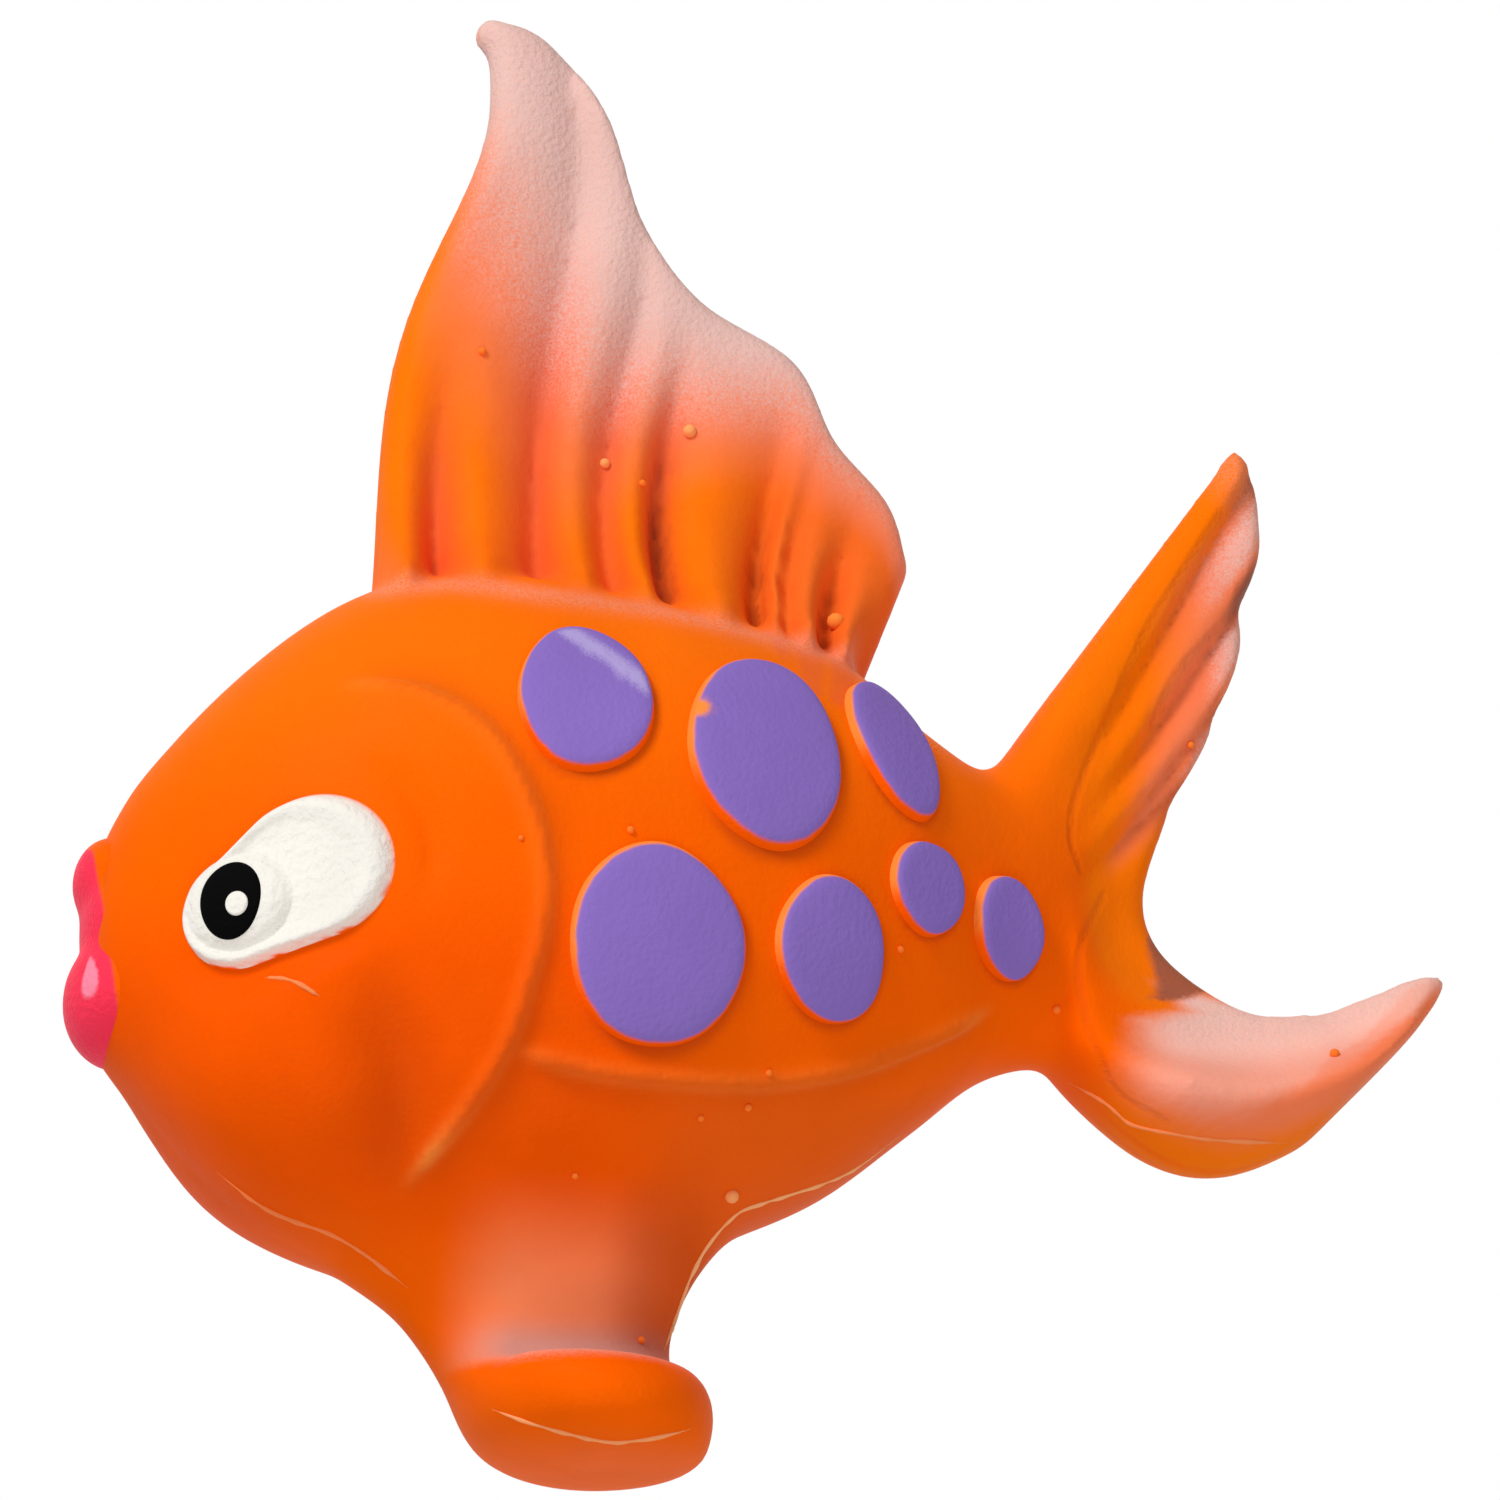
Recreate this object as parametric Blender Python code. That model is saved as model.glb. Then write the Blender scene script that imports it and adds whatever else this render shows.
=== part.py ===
"""Squeaky fish dog toy: a moulded latex skin with painted reliefs, stuffing and a reed squeaker.

The head looks along -X, the left flank along -Y, and the flat underside of the foot lies on Z = 0.
Sizes are in millimetres up to the point where a mesh is made.
"""

import math

import bmesh
import bpy
import numpy as np
from mathutils import Matrix, Vector

MM = 0.001

# Body and skin
BODY_LENGTH = 76.4
BODY_HEIGHT = 54.0
BODY_WIDTH = 44.4
BELLY_HEIGHT = 14.9
NOSE_X = -38.4
SKIN_WALL = 2.2
SECTION_POWER = 2.3
CLEARANCE = 0.3

# Hollow of the skin, from and to shares of the body's length
HOLLOW_START = 0.035
HOLLOW_END = 0.93

# Dorsal fin, with its front root as a share of the body's length
FIN_START = 0.27
FIN_BASE = 39.3
FIN_HEIGHT = 51.4
FIN_ROOT_THICKNESS = 8.4
FIN_EDGE_THICKNESS = 4.6
FIN_SWAY = 2.1
FIN_SWAY_POWER = 1.7
FIN_SINK = 5.0

# Tail, with its root as shares of the body's length and height
TAIL_START = 0.902
TAIL_FOOT = 0.231
TAIL_LENGTH = 36.6
TAIL_HEIGHT = 57.0
TAIL_THICKNESS = 4.8
TAIL_ROOT_THICKNESS = 14.0
TAIL_ROOT_FADE = 2.5
TAIL_SAG = 5.4
TAIL_SAG_START = 0.65

# Wide rim of the lower tail lobe: place and spread across the rays, and where along them it is full
RIM_WIDTH = 14.0
RIM_PLACE = 0.94
RIM_SPREAD = 0.045
RIM_FULL = 0.35

# Foot
FOOT_LENGTH = 20.0
FOOT_WIDTH = 28.8

# Gill edge and flank line, moulded as beads on the skin
BEAD_RADIUS = 1.2
BEAD_HEIGHT = 0.5

# Painted reliefs
SPOT_HEIGHT = 0.9
EYE_HEIGHT = 1.0
EYE_BACK_RADIUS = 5.4
EYE_FRONT_RADIUS = 4.1
PUPIL_HEIGHT = 0.5
PUPIL_SIZE = (0.98 * EYE_FRONT_RADIUS, 1.37 * EYE_FRONT_RADIUS)
CATCHLIGHT_HEIGHT = 0.35
CATCHLIGHT_SIZE = (0.37 * EYE_FRONT_RADIUS, 0.44 * EYE_FRONT_RADIUS)
RELIEF_EDGE = 0.86

# Lips: depth and width of the lower one, and how far the upper one rises above the muzzle
LIP_DEPTH = 1.7
LIP_WIDTH = 14.0
LIP_RISE = 0.8
LIP_OVERLAP = 0.8
UPPER_LIP_HEIGHT = 7.2
LOWER_LIP_HEIGHT = 10.6
UPPER_LIP_SHARE = 0.85
MOUTH_SHARE = 0.8

# Squeaker, with its seat as a share of the body's length and an angle below the flank
SQUEAKER_ALONG = 0.66
SQUEAKER_ANGLE = 46.0
BARREL_RADIUS = 3.7
BARREL_WALL = 0.8
BARREL_LENGTH = 10.4
BARREL_FLOOR = 0.7
FLANGE_RADIUS = 5.5
FLANGE_THICKNESS = 1.0
FLANGE_SINK = 0.8
BARB_HEIGHT = 0.7
BARB_LENGTH = 1.2
VENT_RADIUS = 1.0
COLLAR_WALL = 2.4
COLLAR_ROOT = 0.85 * SKIN_WALL
REED_LENGTH = 7.2
REED_WIDTH = 0.86 * BARREL_RADIUS
REED_THICKNESS = 0.24
REED_GAP = 0.23
WEDGE_LENGTH = 2.8
BLOCK_DROP = 0.8
CHANNEL_WIDTH = 1.2
CHANNEL_DEPTH = 0.9

# How far a cutter runs past the surface that it opens
OVERRUN = 4.0

# Body stations from nose to tail: how far along, top, bottom and half width, as shares of the body
BODY_STATIONS = (
    (0.000, 0.580, 0.296, 0.310),
    (0.031, 0.660, 0.256, 0.440),
    (0.071, 0.736, 0.186, 0.570),
    (0.136, 0.838, 0.090, 0.730),
    (0.241, 0.954, 0.004, 0.900),
    (0.372, 1.000, -0.010, 0.990),
    (0.503, 0.981, 0.006, 1.000),
    (0.634, 0.948, 0.062, 0.920),
    (0.738, 0.905, 0.130, 0.785),
    (0.830, 0.805, 0.230, 0.605),
    (0.908, 0.745, 0.314, 0.430),
    (0.955, 0.735, 0.330, 0.330),
    (1.000, 0.690, 0.370, 0.160),
)

# Dorsal rays from front to rear: root along the base, then the tip along and up, as shares of the fin
FIN_RAYS = (
    (-0.018, 0.190, 1.000),
    (0.150, 0.332, 0.955),
    (0.310, 0.452, 0.842),
    (0.460, 0.530, 0.660),
    (0.600, 0.650, 0.530),
    (0.735, 0.845, 0.436),
    (0.840, 0.928, 0.310),
    (0.925, 1.040, 0.208),
    (1.000, 1.082, 0.100),
)

# Valleys between the folds of the dorsal fin: place across the rays, half width and depth as shares
FIN_VALLEYS = (
    (0.085, 0.030, 0.35),
    (0.235, 0.038, 0.45),
    (0.370, 0.026, 0.40),
    (0.460, 0.028, 0.65),
    (0.620, 0.030, 0.65),
    (0.695, 0.022, 0.45),
    (0.812, 0.032, 0.65),
)

# Tail rays from the upper edge to the keel: root and tip, along and up, as shares of the tail
TAIL_RAYS = (
    (0.000, 0.491, 0.575, 1.006),
    (0.068, 0.430, 0.622, 0.930),
    (0.109, 0.377, 0.593, 0.789),
    (0.137, 0.333, 0.527, 0.619),
    (0.150, 0.298, 0.407, 0.458),
    (0.164, 0.263, 0.347, 0.318),
    (0.164, 0.228, 0.440, 0.223),
    (0.164, 0.193, 0.669, 0.166),
    (0.164, 0.158, 0.990, 0.246),
    (0.150, 0.123, 0.945, 0.170),
    (0.137, 0.096, 0.690, -0.002),
)

# Valleys between the folds of the upper tail lobe, with the columns of the dorsal ones
TAIL_VALLEYS = (
    (0.085, 0.030, 0.45),
    (0.195, 0.030, 0.45),
    (0.305, 0.030, 0.45),
    (0.400, 0.030, 0.35),
)

# Foot sections from the ground up: height as a share of the belly height, then front, rear and half width
FOOT_SECTIONS = (
    (0.000, -0.24, 0.380, 0.68),
    (0.054, -0.33, 0.420, 0.85),
    (0.134, -0.43, 0.445, 0.96),
    (0.242, -0.49, 0.455, 1.00),
    (0.349, -0.53, 0.440, 0.97),
    (0.416, -0.56, 0.400, 0.86),
    (0.450, -0.58, 0.350, 0.69),
    (0.497, -0.61, 0.310, 0.56),
    (0.604, -0.67, 0.295, 0.47),
    (0.772, -0.77, 0.325, 0.46),
)

# Neck between foot and belly, with the same columns as shares of the body's length and half width
NECK_SECTIONS = (
    (0.966, -0.255, 0.103, 0.380),
    (1.134, -0.292, 0.126, 0.490),
    (1.336, -0.310, 0.158, 0.610),
    (1.604, -0.310, 0.185, 0.700),
    (1.872, -0.300, 0.190, 0.720),
)

# Gill edge and flank line: places along and up the body as shares
GILL_PATH = (
    (0.226, 0.739), (0.306, 0.730), (0.373, 0.659), (0.411, 0.563), (0.427, 0.450),
    (0.419, 0.341), (0.389, 0.237), (0.338, 0.128), (0.297, 0.063),
)
FLANK_PATH = (
    (0.389, 0.230), (0.476, 0.204), (0.577, 0.196), (0.679, 0.222), (0.787, 0.280),
    (0.880, 0.359), (0.919, 0.394),
)

# Spots: place along and up, width and height as shares of the body, and the lean of the top to the head
SPOTS = (
    (0.457, 0.722, 0.132, 0.226, 0.0),
    (0.636, 0.667, 0.152, 0.296, 5.0),
    (0.775, 0.713, 0.081, 0.222, 21.0),
    (0.527, 0.372, 0.168, 0.274, 0.0),
    (0.702, 0.394, 0.111, 0.196, 0.0),
    (0.806, 0.506, 0.077, 0.133, 0.0),
    (0.899, 0.480, 0.075, 0.143, 5.0),
)

# Eye: rear and front circle, pupil and catchlight, each along and up the body as shares
EYE_BACK = (0.209, 0.491)
EYE_FRONT = (0.139, 0.426)
PUPIL_PLACE = (0.137, 0.440)
CATCHLIGHT_PLACE = (0.145, 0.434)

# Fineness of the lofts
BODY_SIDES = 40
BODY_RINGS = 30
HOLLOW_SIDES = 28
HOLLOW_RINGS = 20
FOOT_SIDES = 32

ORANGE = (1.0, 0.13, 0.0)
PURPLE = (0.25, 0.15, 0.56)
PINK = (1.0, 0.06, 0.14)
OFF_WHITE = (0.9, 0.89, 0.85)
BLACK = (0.01, 0.01, 0.01)
FIBRE_WHITE = (0.85, 0.85, 0.82)
GREY = (0.62, 0.64, 0.66)
FILM = (0.75, 0.78, 0.8)


def clear_scene():
    """Remove every object of the open scene."""
    for thing in list(bpy.data.objects):
        bpy.data.objects.remove(thing, do_unlink=True)


def paint(name, colour, roughness):
    """A plain Principled material."""
    material = bpy.data.materials.new(name)
    material.use_nodes = True
    shader = material.node_tree.nodes["Principled BSDF"]
    shader.inputs["Base Color"].default_value = (*colour, 1.0)
    shader.inputs["Roughness"].default_value = roughness
    return material


def add_object(name, points, faces, material=None, parent=None, origin=(0, 0, 0)):
    """A mesh object from points in millimetres. One without a material is a hidden guide."""
    mesh = bpy.data.meshes.new(name)
    mesh.from_pydata([(Vector(p) - Vector(origin)) * MM for p in points], [], faces)
    shape = bmesh.new()
    shape.from_mesh(mesh)
    bmesh.ops.recalc_face_normals(shape, faces=shape.faces)
    shape.to_mesh(mesh)
    shape.free()
    mesh.shade_smooth()
    mesh.set_sharp_from_angle(angle=math.radians(40))
    thing = bpy.data.objects.new(name, mesh)
    bpy.context.scene.collection.objects.link(thing)
    thing.location = Vector(origin) * MM
    thing.parent = parent
    if material:
        mesh.materials.append(material)
    else:
        thing.hide_render = True
        thing.display_type = "WIRE"
    return thing


def combine(target, tool, operation):
    """Join a guide to the target, or cut it away, with an exact Boolean."""
    step = target.modifiers.new(tool.name, "BOOLEAN")
    step.operation = operation
    step.solver = "EXACT"
    step.object = tool


def smooth(rows, places):
    """A smooth curve through rows of (place, value, ...), read at the given places."""
    rows = np.array(rows, dtype=float)
    places = np.asarray(places, dtype=float)
    knots, values = rows[:, 0], rows[:, 1:]
    slopes = np.gradient(values, knots, axis=0)
    left = np.clip(np.searchsorted(knots, places) - 1, 0, len(knots) - 2)
    span = (knots[left + 1] - knots[left])[..., None]
    t = (places - knots[left])[..., None] / span
    return (
        (2 * t**3 - 3 * t**2 + 1) * values[left]
        + (t**3 - 2 * t**2 + t) * span * slopes[left]
        + (3 * t**2 - 2 * t**3) * values[left + 1]
        + (t**3 - t**2) * span * slopes[left + 1]
    )


def spaced(rows, shares):
    """Evenly spaced rows, blended smoothly at the given shares of the way from first to last."""
    knots = np.linspace(0, 1, len(rows))
    return smooth(np.column_stack([knots, np.array(rows)]), shares)


def body_x(along):
    return NOSE_X + along * BODY_LENGTH


def body_z(up):
    return BELLY_HEIGHT + up * BODY_HEIGHT


def body_place(share):
    """X and Z of a place given along and up the body as shares."""
    return body_x(share[0]), body_z(share[1])


def section(x):
    """Middle height, half height and half width of the body at x."""
    along = np.clip((np.asarray(x, dtype=float) - NOSE_X) / BODY_LENGTH, 0, 1)
    top, bottom, half_width = np.moveaxis(smooth(BODY_STATIONS, along), -1, 0)
    top, bottom = body_z(top), body_z(bottom)
    return (top + bottom) / 2, (top - bottom) / 2, half_width * BODY_WIDTH / 2


def back_z(x):
    """Height of the body's back at x."""
    middle, half_height, _ = section(x)
    return float(middle + half_height)


def flank(x, z):
    """Half width of the body's surface at x and z."""
    middle, half_height, half_width = section(x)
    share = np.clip(np.abs((z - middle) / half_height), 0, 0.999)
    return half_width * (1 - share**SECTION_POWER) ** (1 / SECTION_POWER)


def flank_normal(x, z, side):
    """Outward direction of the flank at x and z. Side -1 is the left one."""
    step = 0.05
    slope_x = (flank(x + step, z) - flank(x - step, z)) / (2 * step)
    slope_z = (flank(x, z + step) - flank(x, z - step)) / (2 * step)
    return Vector((-slope_x, side, -slope_z)).normalized()


def flank_point(x, z, side, lift):
    """A point on the flank at x and z, lifted off it along its normal."""
    return Vector((x, side * flank(x, z), z)) + flank_normal(x, z, side) * lift


def power_ring(middle, half_height, half_width, sides):
    """Points of a rounded section in Y and Z, anticlockwise seen from +X."""
    angle = np.linspace(0, 2 * math.pi, sides, endpoint=False)
    bend = 2 / SECTION_POWER
    y = half_width * np.sign(np.cos(angle)) * np.abs(np.cos(angle)) ** bend
    z = middle + half_height * np.sign(np.sin(angle)) * np.abs(np.sin(angle)) ** bend
    return y, z


def loft_faces(rings, sides):
    """Faces of a closed loft over rings of points, with flat ends."""
    faces = [tuple(range(sides)), tuple((rings - 1) * sides + k for k in range(sides))]
    for ring in range(rings - 1):
        low, high = ring * sides, (ring + 1) * sides
        for k in range(sides):
            after = (k + 1) % sides
            faces.append((low + k, low + after, high + after, high + k))
    return faces


def body_loft(name, inset, first, last, rings, sides, material=None):
    """The body's egg, drawn in by an inset, from one share of its length to another."""
    points = []
    for along in np.linspace(first, last, rings):
        middle, half_height, half_width = section(body_x(along))
        y, z = power_ring(middle, half_height - inset, half_width - inset, sides)
        points += [(body_x(along), *pair) for pair in zip(y, z)]
    return add_object(name, points, loft_faces(rings, sides), material)


def rounded(distance, radius):
    """Share of the full thickness at a distance from a rounded edge."""
    inside = np.clip(distance / radius, 0, 1)
    return math.sqrt(1 - (1 - inside) ** 2)


def folded(valleys, u):
    """Share of the thickness that the valleys between the folds leave at u."""
    return 1 - sum(depth * math.exp(-(((u - place) / width) ** 2)) for place, width, depth in valleys)


def columns(valleys, count):
    """Shares from 0 to 1: an even spread that makes way for each valley and its shoulders."""
    fixed = [place + k * width for place, width, _ in valleys for k in (-1.4, -0.6, 0, 0.6, 1.4)]
    gap = 0.4 / count
    even = [u for u in np.linspace(0, 1, count) if all(abs(u - f) > gap for f in fixed)]
    ends = [0.01, 0.03, 0.97, 0.99]
    return sorted({*fixed, *even, *ends, 0.0, 1.0})


def rim_steps(count):
    """Shares from 0 to 1 that crowd towards the rim."""
    return 1 - (1 - np.linspace(0, 1, count)) ** 1.5


def sheet(name, place, half_thickness, radius, across, steps):
    """A closed fin over a grid of rays and steps, rounded off along its outer rays and its rim."""
    count, last = len(across), len(steps) - 1
    spots = {(i, j): Vector(place(u, v)) for i, u in enumerate(across) for j, v in enumerate(steps)}
    points, left, right = [], {}, {}
    for (i, j), spot in spots.items():
        border = (spots[0, j], spots[count - 1, j], spots[i, last])
        inside = rounded(min((spot - other).length for other in border), radius)
        thick = inside * half_thickness(across[i], steps[j])
        left[i, j] = right[i, j] = len(points)
        points.append((spot.x, -thick, spot.y))
        if thick:
            right[i, j] = len(points)
            points.append((spot.x, thick, spot.y))
    faces = []
    for i in range(count - 1):
        for grid in (left, right):
            for j in range(last):
                faces.append((grid[i, j], grid[i + 1, j], grid[i + 1, j + 1], grid[i, j + 1]))
        root = (left[i, 0], left[i + 1, 0], right[i + 1, 0], right[i, 0])
        faces.append(tuple(dict.fromkeys(root)))
    return add_object(name, points, faces)


def dorsal_fin():
    """The tall folded fin on the back, sunk into the body at its root."""
    start_x = body_x(FIN_START)
    base_z = back_z(start_x)

    def place(u, v):
        root, tip_along, tip_up = spaced(FIN_RAYS, u)
        root_x = start_x + root * FIN_BASE
        root_z = back_z(root_x) - FIN_SINK
        tip_x, tip_z = start_x + tip_along * FIN_BASE, base_z + tip_up * FIN_HEIGHT
        sway = FIN_SWAY * (1 - u) * math.sin(2 * math.pi * v**FIN_SWAY_POWER)
        return root_x + (tip_x - root_x) * v - sway, root_z + (tip_z - root_z) * v

    def half_thickness(u, v):
        thickness = FIN_ROOT_THICKNESS + (FIN_EDGE_THICKNESS - FIN_ROOT_THICKNESS) * v
        return thickness / 2 * folded(FIN_VALLEYS, u)

    across = columns(FIN_VALLEYS, 20)
    return sheet("dorsal_fin_form", place, half_thickness, FIN_EDGE_THICKNESS / 2, across, rim_steps(12))


def tail_fin():
    """The forked tail: folds from the tall upper lobe to the lower lobe with its wide rim."""
    root_x, root_z = body_x(TAIL_START), body_z(TAIL_FOOT)

    def place(u, v):
        along, up, tip_along, tip_up = spaced(TAIL_RAYS, u)
        start = Vector((root_x + along * TAIL_LENGTH, root_z + up * TAIL_HEIGHT))
        tip = Vector((root_x + tip_along * TAIL_LENGTH, root_z + tip_up * TAIL_HEIGHT))
        sag = TAIL_SAG * max(0.0, u - TAIL_SAG_START) / (1 - TAIL_SAG_START) * math.sin(math.pi * v)
        return start + (tip - start) * v - Vector((0, sag))

    def half_thickness(u, v):
        swell = (TAIL_ROOT_THICKNESS - TAIL_THICKNESS) * (1 - v) ** TAIL_ROOT_FADE
        flare = (RIM_WIDTH - TAIL_THICKNESS) * math.exp(-(((u - RIM_PLACE) / RIM_SPREAD) ** 2))
        return (TAIL_THICKNESS * folded(TAIL_VALLEYS, u) + swell + flare * min(1.0, v / RIM_FULL)) / 2

    across = columns(TAIL_VALLEYS, 28)
    return sheet("tail_form", place, half_thickness, TAIL_THICKNESS / 2, across, rim_steps(9))


def foot():
    """The ventral fin: a neck under the belly that flares into a flat-bottomed foot."""
    tables = ((FOOT_SECTIONS, FOOT_LENGTH, FOOT_WIDTH), (NECK_SECTIONS, BODY_LENGTH, BODY_WIDTH))
    rows = []
    for table, length, width in tables:
        for height, front, rear, half_width in table:
            rows.append((height * BELLY_HEIGHT, front * length, rear * length, half_width * width / 2))
    points = []
    for z, front, rear, half_width in rows:
        for angle in np.linspace(0, 2 * math.pi, FOOT_SIDES, endpoint=False):
            x = (front + rear) / 2 + (rear - front) / 2 * math.cos(angle)
            points.append((x, half_width * math.sin(angle), z))
    return add_object("foot_form", points, loft_faces(len(rows), FOOT_SIDES))


def bead(name, path, side, sides=8):
    """A rounded bead laid along a path on the flank, sunk so that only its crest stands proud."""
    places = [body_place(share) for share in spaced(path, np.linspace(0, 1, 2 * len(path)))]
    centres = [flank_point(x, z, side, BEAD_HEIGHT - BEAD_RADIUS) for x, z in places]
    points = []
    for k, (x, z) in enumerate(places):
        ahead = (centres[min(k + 1, len(places) - 1)] - centres[max(k - 1, 0)]).normalized()
        out = flank_normal(x, z, side)
        aside = ahead.cross(out).normalized()
        for angle in np.linspace(0, 2 * math.pi, sides, endpoint=False):
            points.append(centres[k] + BEAD_RADIUS * (math.cos(angle) * out + math.sin(angle) * aside))
    return add_object(name, points, loft_faces(len(places), sides))


def squeaker_seat():
    """An empty on the right of the belly, behind the foot, with Z along the skin's outward normal."""
    x = body_x(SQUEAKER_ALONG)
    middle, half_height, _ = section(x)
    z = float(middle - half_height * math.sin(math.radians(SQUEAKER_ANGLE)) ** (2 / SECTION_POWER))
    turn = flank_normal(x, z, 1).to_track_quat("Z", "X")
    seat = bpy.data.objects.new("squeaker_seat", None)
    bpy.context.scene.collection.objects.link(seat)
    seat.matrix_world = Matrix.Translation(flank_point(x, z, 1, 0) * MM) @ turn.to_matrix().to_4x4()
    bpy.context.view_layer.update()
    return seat


def turned(name, profile, parent, material=None, sides=24):
    """A ring turned about its parent's Z axis from a closed profile of radius and height."""
    points = []
    for turn in np.linspace(0, 2 * math.pi, sides, endpoint=False):
        points += [(r * math.cos(turn), r * math.sin(turn), z) for r, z in profile]
    count, faces = len(profile), []
    for k in range(sides):
        here, there = k * count, (k + 1) % sides * count
        for p in range(count):
            q = (p + 1) % count
            faces.append((here + p, here + q, there + q, there + p))
    return add_object(name, points, faces, material, parent)


def plug(name, radius, low, high, parent, sides=24):
    """A solid cylinder about its parent's Z axis, as a guide."""
    angles = np.linspace(0, 2 * math.pi, sides, endpoint=False)
    points = [(radius * math.cos(a), radius * math.sin(a), z) for z in (low, high) for a in angles]
    return add_object(name, points, loft_faces(2, sides), None, parent)


def flange_floor():
    """Depth of the flange's inner face below the skin."""
    return -(FLANGE_SINK + FLANGE_THICKNESS)


def collar_end():
    """Depth at which the skin's collar ends, just short of the barb."""
    return -(BARREL_LENGTH - BARB_LENGTH - CLEARANCE)


def latex_skin(seat):
    """The one-piece hollow moulding with its fins, foot, beads and the collar round the squeaker."""
    latex = paint("orange_latex", ORANGE, 0.5)
    skin = body_loft("latex_skin", 0, 0, 1, BODY_RINGS, BODY_SIDES, latex)
    forms = [dorsal_fin(), tail_fin(), foot()]
    for side, label in ((-1, "left"), (1, "right")):
        forms.append(bead(f"gill_{label}_form", GILL_PATH, side))
        forms.append(bead(f"flank_{label}_form", FLANK_PATH, side))
    for form in forms:
        combine(skin, form, "UNION")
    hollow = body_loft("hollow", SKIN_WALL, HOLLOW_START, HOLLOW_END, HOLLOW_RINGS, HOLLOW_SIDES)
    combine(skin, hollow, "DIFFERENCE")
    bore = BARREL_RADIUS + CLEARANCE
    combine(skin, plug("collar", bore + COLLAR_WALL, collar_end(), -COLLAR_ROOT, seat), "UNION")
    combine(skin, plug("bore", bore, -BARREL_LENGTH - OVERRUN, OVERRUN, seat), "DIFFERENCE")
    rebate = plug("rebate", FLANGE_RADIUS + CLEARANCE, flange_floor() - CLEARANCE, OVERRUN, seat)
    combine(skin, rebate, "DIFFERENCE")


def fibre_fill(seat):
    """The stuffing inside the skin, with a hollow round the squeaker."""
    gap = 2 * CLEARANCE / BODY_LENGTH
    ends = HOLLOW_START + gap, HOLLOW_END - gap
    fibre = paint("polyester_fibre", FIBRE_WHITE, 0.95)
    fill = body_loft("fibre_fill", SKIN_WALL + CLEARANCE, *ends, HOLLOW_RINGS, HOLLOW_SIDES, fibre)
    radius = BARREL_RADIUS + CLEARANCE + COLLAR_WALL + CLEARANCE
    combine(fill, plug("nest", radius, -BARREL_LENGTH - CLEARANCE, OVERRUN, seat), "DIFFERENCE")


def squeaker_barrel(seat):
    """Flanged tube with a vent in its outer end and a barb that holds it behind the collar."""
    inner = BARREL_RADIUS - BARREL_WALL
    floor = flange_floor() - BARREL_FLOOR
    barb = collar_end() - CLEARANCE
    profile = [
        (VENT_RADIUS, -FLANGE_SINK),
        (FLANGE_RADIUS, -FLANGE_SINK),
        (FLANGE_RADIUS, flange_floor()),
        (BARREL_RADIUS, flange_floor()),
        (BARREL_RADIUS, barb),
        (BARREL_RADIUS + BARB_HEIGHT, barb),
        (BARREL_RADIUS, -BARREL_LENGTH),
        (inner, -BARREL_LENGTH),
        (inner, floor),
        (VENT_RADIUS, floor),
    ]
    turned("squeaker_barrel", profile, seat, paint("white_plastic", OFF_WHITE, 0.35))


def half_round(radius, chord, facing, channel=0.0):
    """Section of a half-round insert with its flat at Y = chord, cut by an air channel if it has one."""
    start = math.asin(chord / radius)
    if facing > 0:
        angles = np.linspace(start, math.pi - start, 9)
    else:
        angles = np.linspace(math.pi - start, 2 * math.pi + start, 9)
    points = [(radius * math.cos(a), radius * math.sin(a)) for a in angles]
    if channel:
        half = CHANNEL_WIDTH / 2
        points += [(half, chord), (half, chord - channel), (-half, chord - channel), (-half, chord)]
    return points


def insert(name, sections, seat, material):
    """A squeaker insert lofted over sections of (height, points)."""
    points = [(x, y, z) for z, outline in sections for x, y in outline]
    return add_object(name, points, loft_faces(len(sections), len(sections[0][1])), material, seat)


def squeaker_inserts(seat):
    """Reed block, wedge and reed, which slide into the barrel from its inner end."""
    radius = BARREL_RADIUS - BARREL_WALL - CLEARANCE
    bottom = flange_floor() - BARREL_FLOOR - CLEARANCE
    top = -(BARREL_LENGTH - CLEARANCE)
    face = REED_THICKNESS / 2 + REED_GAP
    block = []
    for share in np.linspace(0, 1, 7):
        chord = -(face + BLOCK_DROP * share**2)
        block.append((bottom + (top - bottom) * share, half_round(radius, chord, -1, CHANNEL_DEPTH)))
    insert("reed_block", block, seat, paint("grey_block", GREY, 0.4))
    wedge = [(bottom - k * WEDGE_LENGTH, half_round(radius, face, 1)) for k in (0, 1)]
    insert("reed_wedge", wedge, seat, paint("grey_wedge", GREY, 0.4))
    root = bottom - CLEARANCE
    half_x, half_y = REED_WIDTH / 2, REED_THICKNESS / 2
    strip = [(-half_x, -half_y), (half_x, -half_y), (half_x, half_y), (-half_x, half_y)]
    points = [(x, y, z) for z in (root, root - REED_LENGTH) for x, y in strip]
    add_object("reed", points, loft_faces(2, 4), paint("clear_film", FILM, 0.2), seat, (0, 0, root))


def ellipse(centre, width, height, lean=0.0, count=18):
    """Outline in X and Z of an ellipse whose top leans towards the head."""
    turn = math.radians(lean)
    outline = []
    for angle in np.linspace(0, 2 * math.pi, count, endpoint=False):
        across, up = width / 2 * math.cos(angle), height / 2 * math.sin(angle)
        x = centre[0] + across * math.cos(turn) - up * math.sin(turn)
        outline.append((x, centre[1] + across * math.sin(turn) + up * math.cos(turn)))
    return outline


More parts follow.
